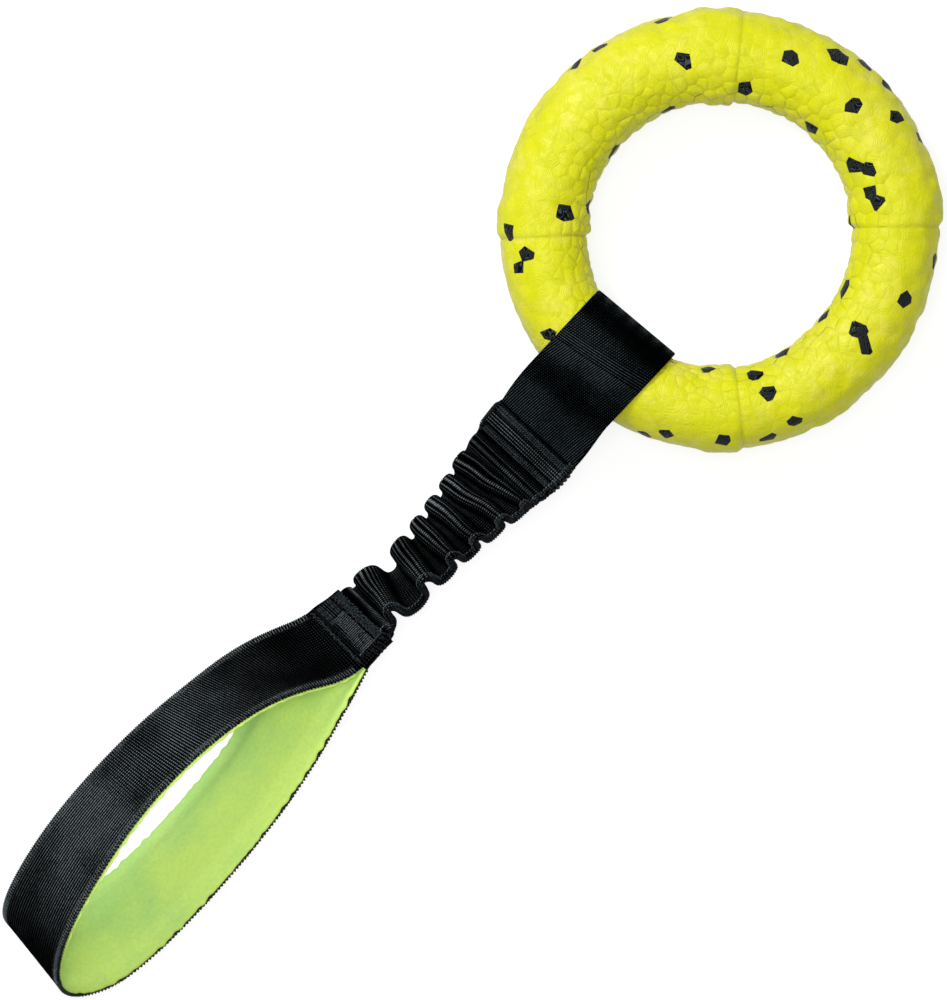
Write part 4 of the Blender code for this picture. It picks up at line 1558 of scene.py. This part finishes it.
ragged_line = loop_line(half_webbing, handle_webbing_thickness * 0.4, loop_length / 2)
sew(
    "hand_loop_ragged_edge", [ragged_line], edge_tree, dull_thread, "handle",
    pitch=1.5, reach=0.3, depth=0.6, thread=0.65, slant=1.2, looseness=0.9,
)

# %% [markdown]
# ## Sewing the two joints
#
# At each joint the sleeve's hem is sewn down by rows across the strap, and by a bar of
# threads that run along it. The same thread comes out on the lower face.


# %% Joint stitches
def joint_row(x, side, half, first=-1.0, last=1.0):
    """A line across the joint at a place along it, on one face, with the cloth's normals."""
    surface = ply_side(x) + sleeve_thickness + joint_relief(x)
    return [
        with_normal(lambda out: strap_point(x, half * share, side * out), surface)
        for share in np.linspace(first, last, 25)
    ]


bead_row = dict(pitch=1.05, length=0.8, height=0.35, thread=0.42, slant=0.3, looseness=0.5)
dash_row = dict(pitch=0.85, length=2.4, height=0.25, thread=0.36, slant=1.5, looseness=0.14)
messy_row = dict(pitch=1.05, length=2.1, height=1.2, thread=0.42, slant=0.6, looseness=1.4)
thread_row = dict(pitch=0.86, length=7.0, height=0.2, thread=0.3, slant=1.55, looseness=0.05)
rib_row = dict(pitch=2.1, length=2.3, height=0.15, thread=0.42, looseness=0.04)
# Each joint's body, the sleeve's end there and the way in from it, its rows and how many
# millimetres in they lie, and its bar: how far in, where across it starts, and its thread.
joints = (
    ("upper", "ring_strap", upper_start, -1, bead_row, (1.9, 2.9, 3.9),
     dash_row, 11.8, -1.0, dull_thread),
    ("lower", "handle", lower_end, 1, messy_row, (8.7, 10.0, 11.3),
     thread_row, 4.0, -0.42, shiny_thread),
)
for joint, body, end, inward, row, row_places, bar, bar_place, bar_start, bar_thread in joints:
    half = sleeve_half_width(end) - 2.6 * mm
    for face, side in (("front", 1), ("back", -1)):
        sew(
            f"{joint}_joint_rows_{face}",
            [joint_row(end + inward * d * mm, side, half) for d in row_places],
            stitch_tree, dull_thread, body, f"{joint}_box_stitch_{face}", **row,
        )
        sew(
            f"{joint}_joint_bar_{face}",
            [joint_row(end + inward * bar_place * mm, side, half, bar_start)],
            stitch_tree, bar_thread, body, f"{joint}_bartack_{face}", **bar,
        )
        if joint == "lower":
            ribs = [
                joint_row(end + d * mm, side, half, -1.0, -0.4) for d in np.arange(0.9, 7.4, 0.95)
            ]
            sew(f"lower_joint_ribs_{face}", ribs, stitch_tree, dull_thread, body, **rib_row)

beside_joint = 2.2 * mm
for face, distance in (("front", beside_joint), ("back", loop_length - beside_joint)):
    station = min(loop_stations, key=lambda s: abs(s[3] - distance))
    line = [
        (loop_place_at(station)(half_webbing * s, handle_webbing_thickness), station[2])
        for s in np.linspace(-0.86, 0.86, 15)
    ]
    sew(f"hand_loop_joint_row_{face}", [line], stitch_tree, dull_thread, "handle", **messy_row)


# %% [markdown]
# The sleeve's two edges are overlocked all along, over every fold, and their loops are grown
# in the same three spans as the plies.

# %% Sleeve edges
sleeve_edge_sizes = {
    "near": dict(pitch=1.0, reach=0.35, thread=0.42, slant=0.5, looseness=0.4),
    "far": dict(pitch=0.62, reach=0.3, thread=0.6, slant=0.2, looseness=0.05),
}
for edge, sign in (("near", 1), ("far", -1)):
    for span in sleeve_spans:
        line = [
            with_normal(lambda out: cloth_point(s, sign * ply_half_width(s[0]), out))
            for s in span[1]
        ]
        sew(
            f"sleeve_edge_{edge}_{span[0]}", [line], edge_tree, black_thread, span,
            f"sleeve_seam_{edge}", depth=1.0, **sleeve_edge_sizes[edge],
        )

chain_inset = 2.0 * mm
legs_aside = Vector((0, -0.9 * mm, 0))
for span in sleeve_spans:
    line = []
    for s in span[1][::2]:
        half = ply_half_width(s[0])
        across = half - chain_inset
        _, outer = sleeve_faces(s, across * half_webbing / half, half_webbing)
        line.append(with_normal(lambda out: cloth_point(s, across, out), outer))
    sew(
        f"sleeve_chain_{span[0]}", [line], stitch_tree, shiny_thread, span,
        pitch=1.5, length=1.1, height=0.3, thread=0.4, slant=0.35, looseness=0.3,
    )
    sew(
        f"sleeve_legs_{span[0]}", [[(p + legs_aside, n) for p, n in line]], stitch_tree,
        dull_thread, span, pitch=0.95, length=2.0, height=0.4, thread=0.36, slant=1.3, looseness=0.5,
    )


# %% Overlock at the joints
# For each joint's two edges: how many millimetres in from the sleeve's edge, and the loops.
overlock = {
    "upper_near": (0.7, dict(pitch=1.9, reach=1.0, thread=0.9, slant=0.55, looseness=0.3)),
    "upper_far": (0.2, dict(pitch=0.62, reach=1.1, thread=0.7, slant=0.15, looseness=0.04)),
    "lower_near": (0.6, dict(pitch=1.7, reach=1.2, thread=0.8, slant=0.55, looseness=0.4)),
    "lower_far": (0.7, dict(pitch=0.8, reach=0.3, thread=0.6, slant=0.3, looseness=0.1)),
}
joint_edges = (
    ("upper", "ring_strap", upper_start - 0.5 * mm, upper_start - upper_flat_length, upper_ply_side),
    ("lower", "handle", lower_end + 0.5 * mm, lower_start - taper_length, lower_ply_side),
)
for joint, body, first, last, reach in joint_edges:
    for edge, sign in (("near", 1), ("far", -1)):
        inset, sizes = overlock[f"{joint}_{edge}"]
        line = []
        for x in np.linspace(first, last, 30):
            from_end = min(abs(x - first), abs(x - last))
            corner = 1.1 * mm * (1 - ease(from_end / (2.6 * mm)))
            half = sleeve_half_width(x) - inset * mm - corner
            line.append(with_normal(lambda out: strap_point(x, sign * half, out)))
        sew(
            f"{joint}_joint_overlock_{edge}", [line], edge_tree, black_thread, body,
            depth=(reach + sleeve_thickness) / mm, **sizes,
        )


# %% [markdown]
# ## Floor, light and camera
#
# The photograph is a cut-out on white, taken from straight above with soft light from the
# top left. The floor is white to the camera and still takes a faint shadow. The camera is
# far away with a long lens, so that heights hardly shift what is seen.

# %% Floor
floor_size = 3.0
floor_level = -0.3 * mm
corner = floor_size / 2
floor_mesh = bpy.data.meshes.new("floor")
floor_mesh.from_pydata(
    [(x * corner, y * corner, floor_level) for x, y in ((-1, -1), (1, -1), (1, 1), (-1, 1))],
    [], [(0, 1, 2, 3)],
)
floor_paper, tree, shader = start_material("white_paper_floor")
rays = add(tree, "ShaderNodeLightPath").outputs
seen = rays["Is Camera Ray"]
for ray in ("Is Glossy Ray", "Is Transmission Ray"):
    seen = add(tree, MATH, (seen, rays[ray]), operation="MAXIMUM")
feed(tree, shader, {
    "Base Color": linear("#A2A2A2"),
    "Roughness": 0.9,
    "Specular IOR Level": 0.1,
    "Emission Strength": add(tree, MATH, (seen, 0.8), operation="MULTIPLY"),
    "Emission Color": (1.0, 1.0, 1.0, 1.0),
})
floor = link("floor", floor_mesh, floor_paper)

# %% Lights and camera
world = bpy.data.worlds.new("studio")
bpy.context.scene.world = world
world.use_nodes = True
feed(world.node_tree, world.node_tree.nodes["Background"], ((1.0, 1.0, 1.0, 1.0), 0.38))


def area_light(name, place, aim, size, watts):
    """A square lamp at a place, turned to shine on another."""
    lamp = bpy.data.lights.new(name, "AREA")
    lamp.size = size
    lamp.energy = watts
    made = put(name, lamp)
    made.location = place
    made.rotation_euler = (Vector(aim) - Vector(place)).to_track_quat("-Z", "Y").to_euler()


view_middle = Vector((10.5 * mm, -1.8 * mm, 18.0 * mm))
area_light("key", (0.20, 1.24, 1.38), view_middle, 0.6, 18.2)
area_light("overhead", (0.0, 0.1, 2.5), view_middle, 1.0, 15.8)

# A spot from straight above reaches into the hand loop, which shades itself from the key.
loop_lamp = bpy.data.lights.new("hand_loop_spot", "SPOT")
loop_lamp.energy = 14.5
loop_lamp.spot_size = math.radians(14.0)
loop_lamp.spot_blend = 0.5
loop_lamp.shadow_soft_size = 0.12
loop_middle = Vector((lower_end - 0.45 * handle_length, -4.0 * mm, 0.0))
put("hand_loop_spot", loop_lamp).location = loop_middle + Vector((0.0, 0.0, 1.2))

camera_distance = 6.0
picture_height = 380.0 * mm
camera = put("camera", bpy.data.cameras.new("camera"))
camera.location = view_middle + Vector((0.0, 0.0, camera_distance))
camera.rotation_euler = (0.0, 0.0, -strap_heading)
camera.data.sensor_width = 36.0
camera.data.lens = camera.data.sensor_width * camera_distance / picture_height
camera.data.clip_end = 50.0
bpy.context.scene.camera = camera
bpy.context.scene.view_settings.view_transform = "Standard"

# %% [markdown]
# ## Flat sizes of the cloth
#
# The lining and the sleeve's plies are sheets of cloth, and the padding is a soft filling.
# Their flat sizes are what a cutter would need: the widths above, by their lengths unfolded.

for piece, span in sleeve_pieces:
    used = span[1]
    width = 2 * float(np.mean([sleeve_half_width(s[0]) for s in used]))
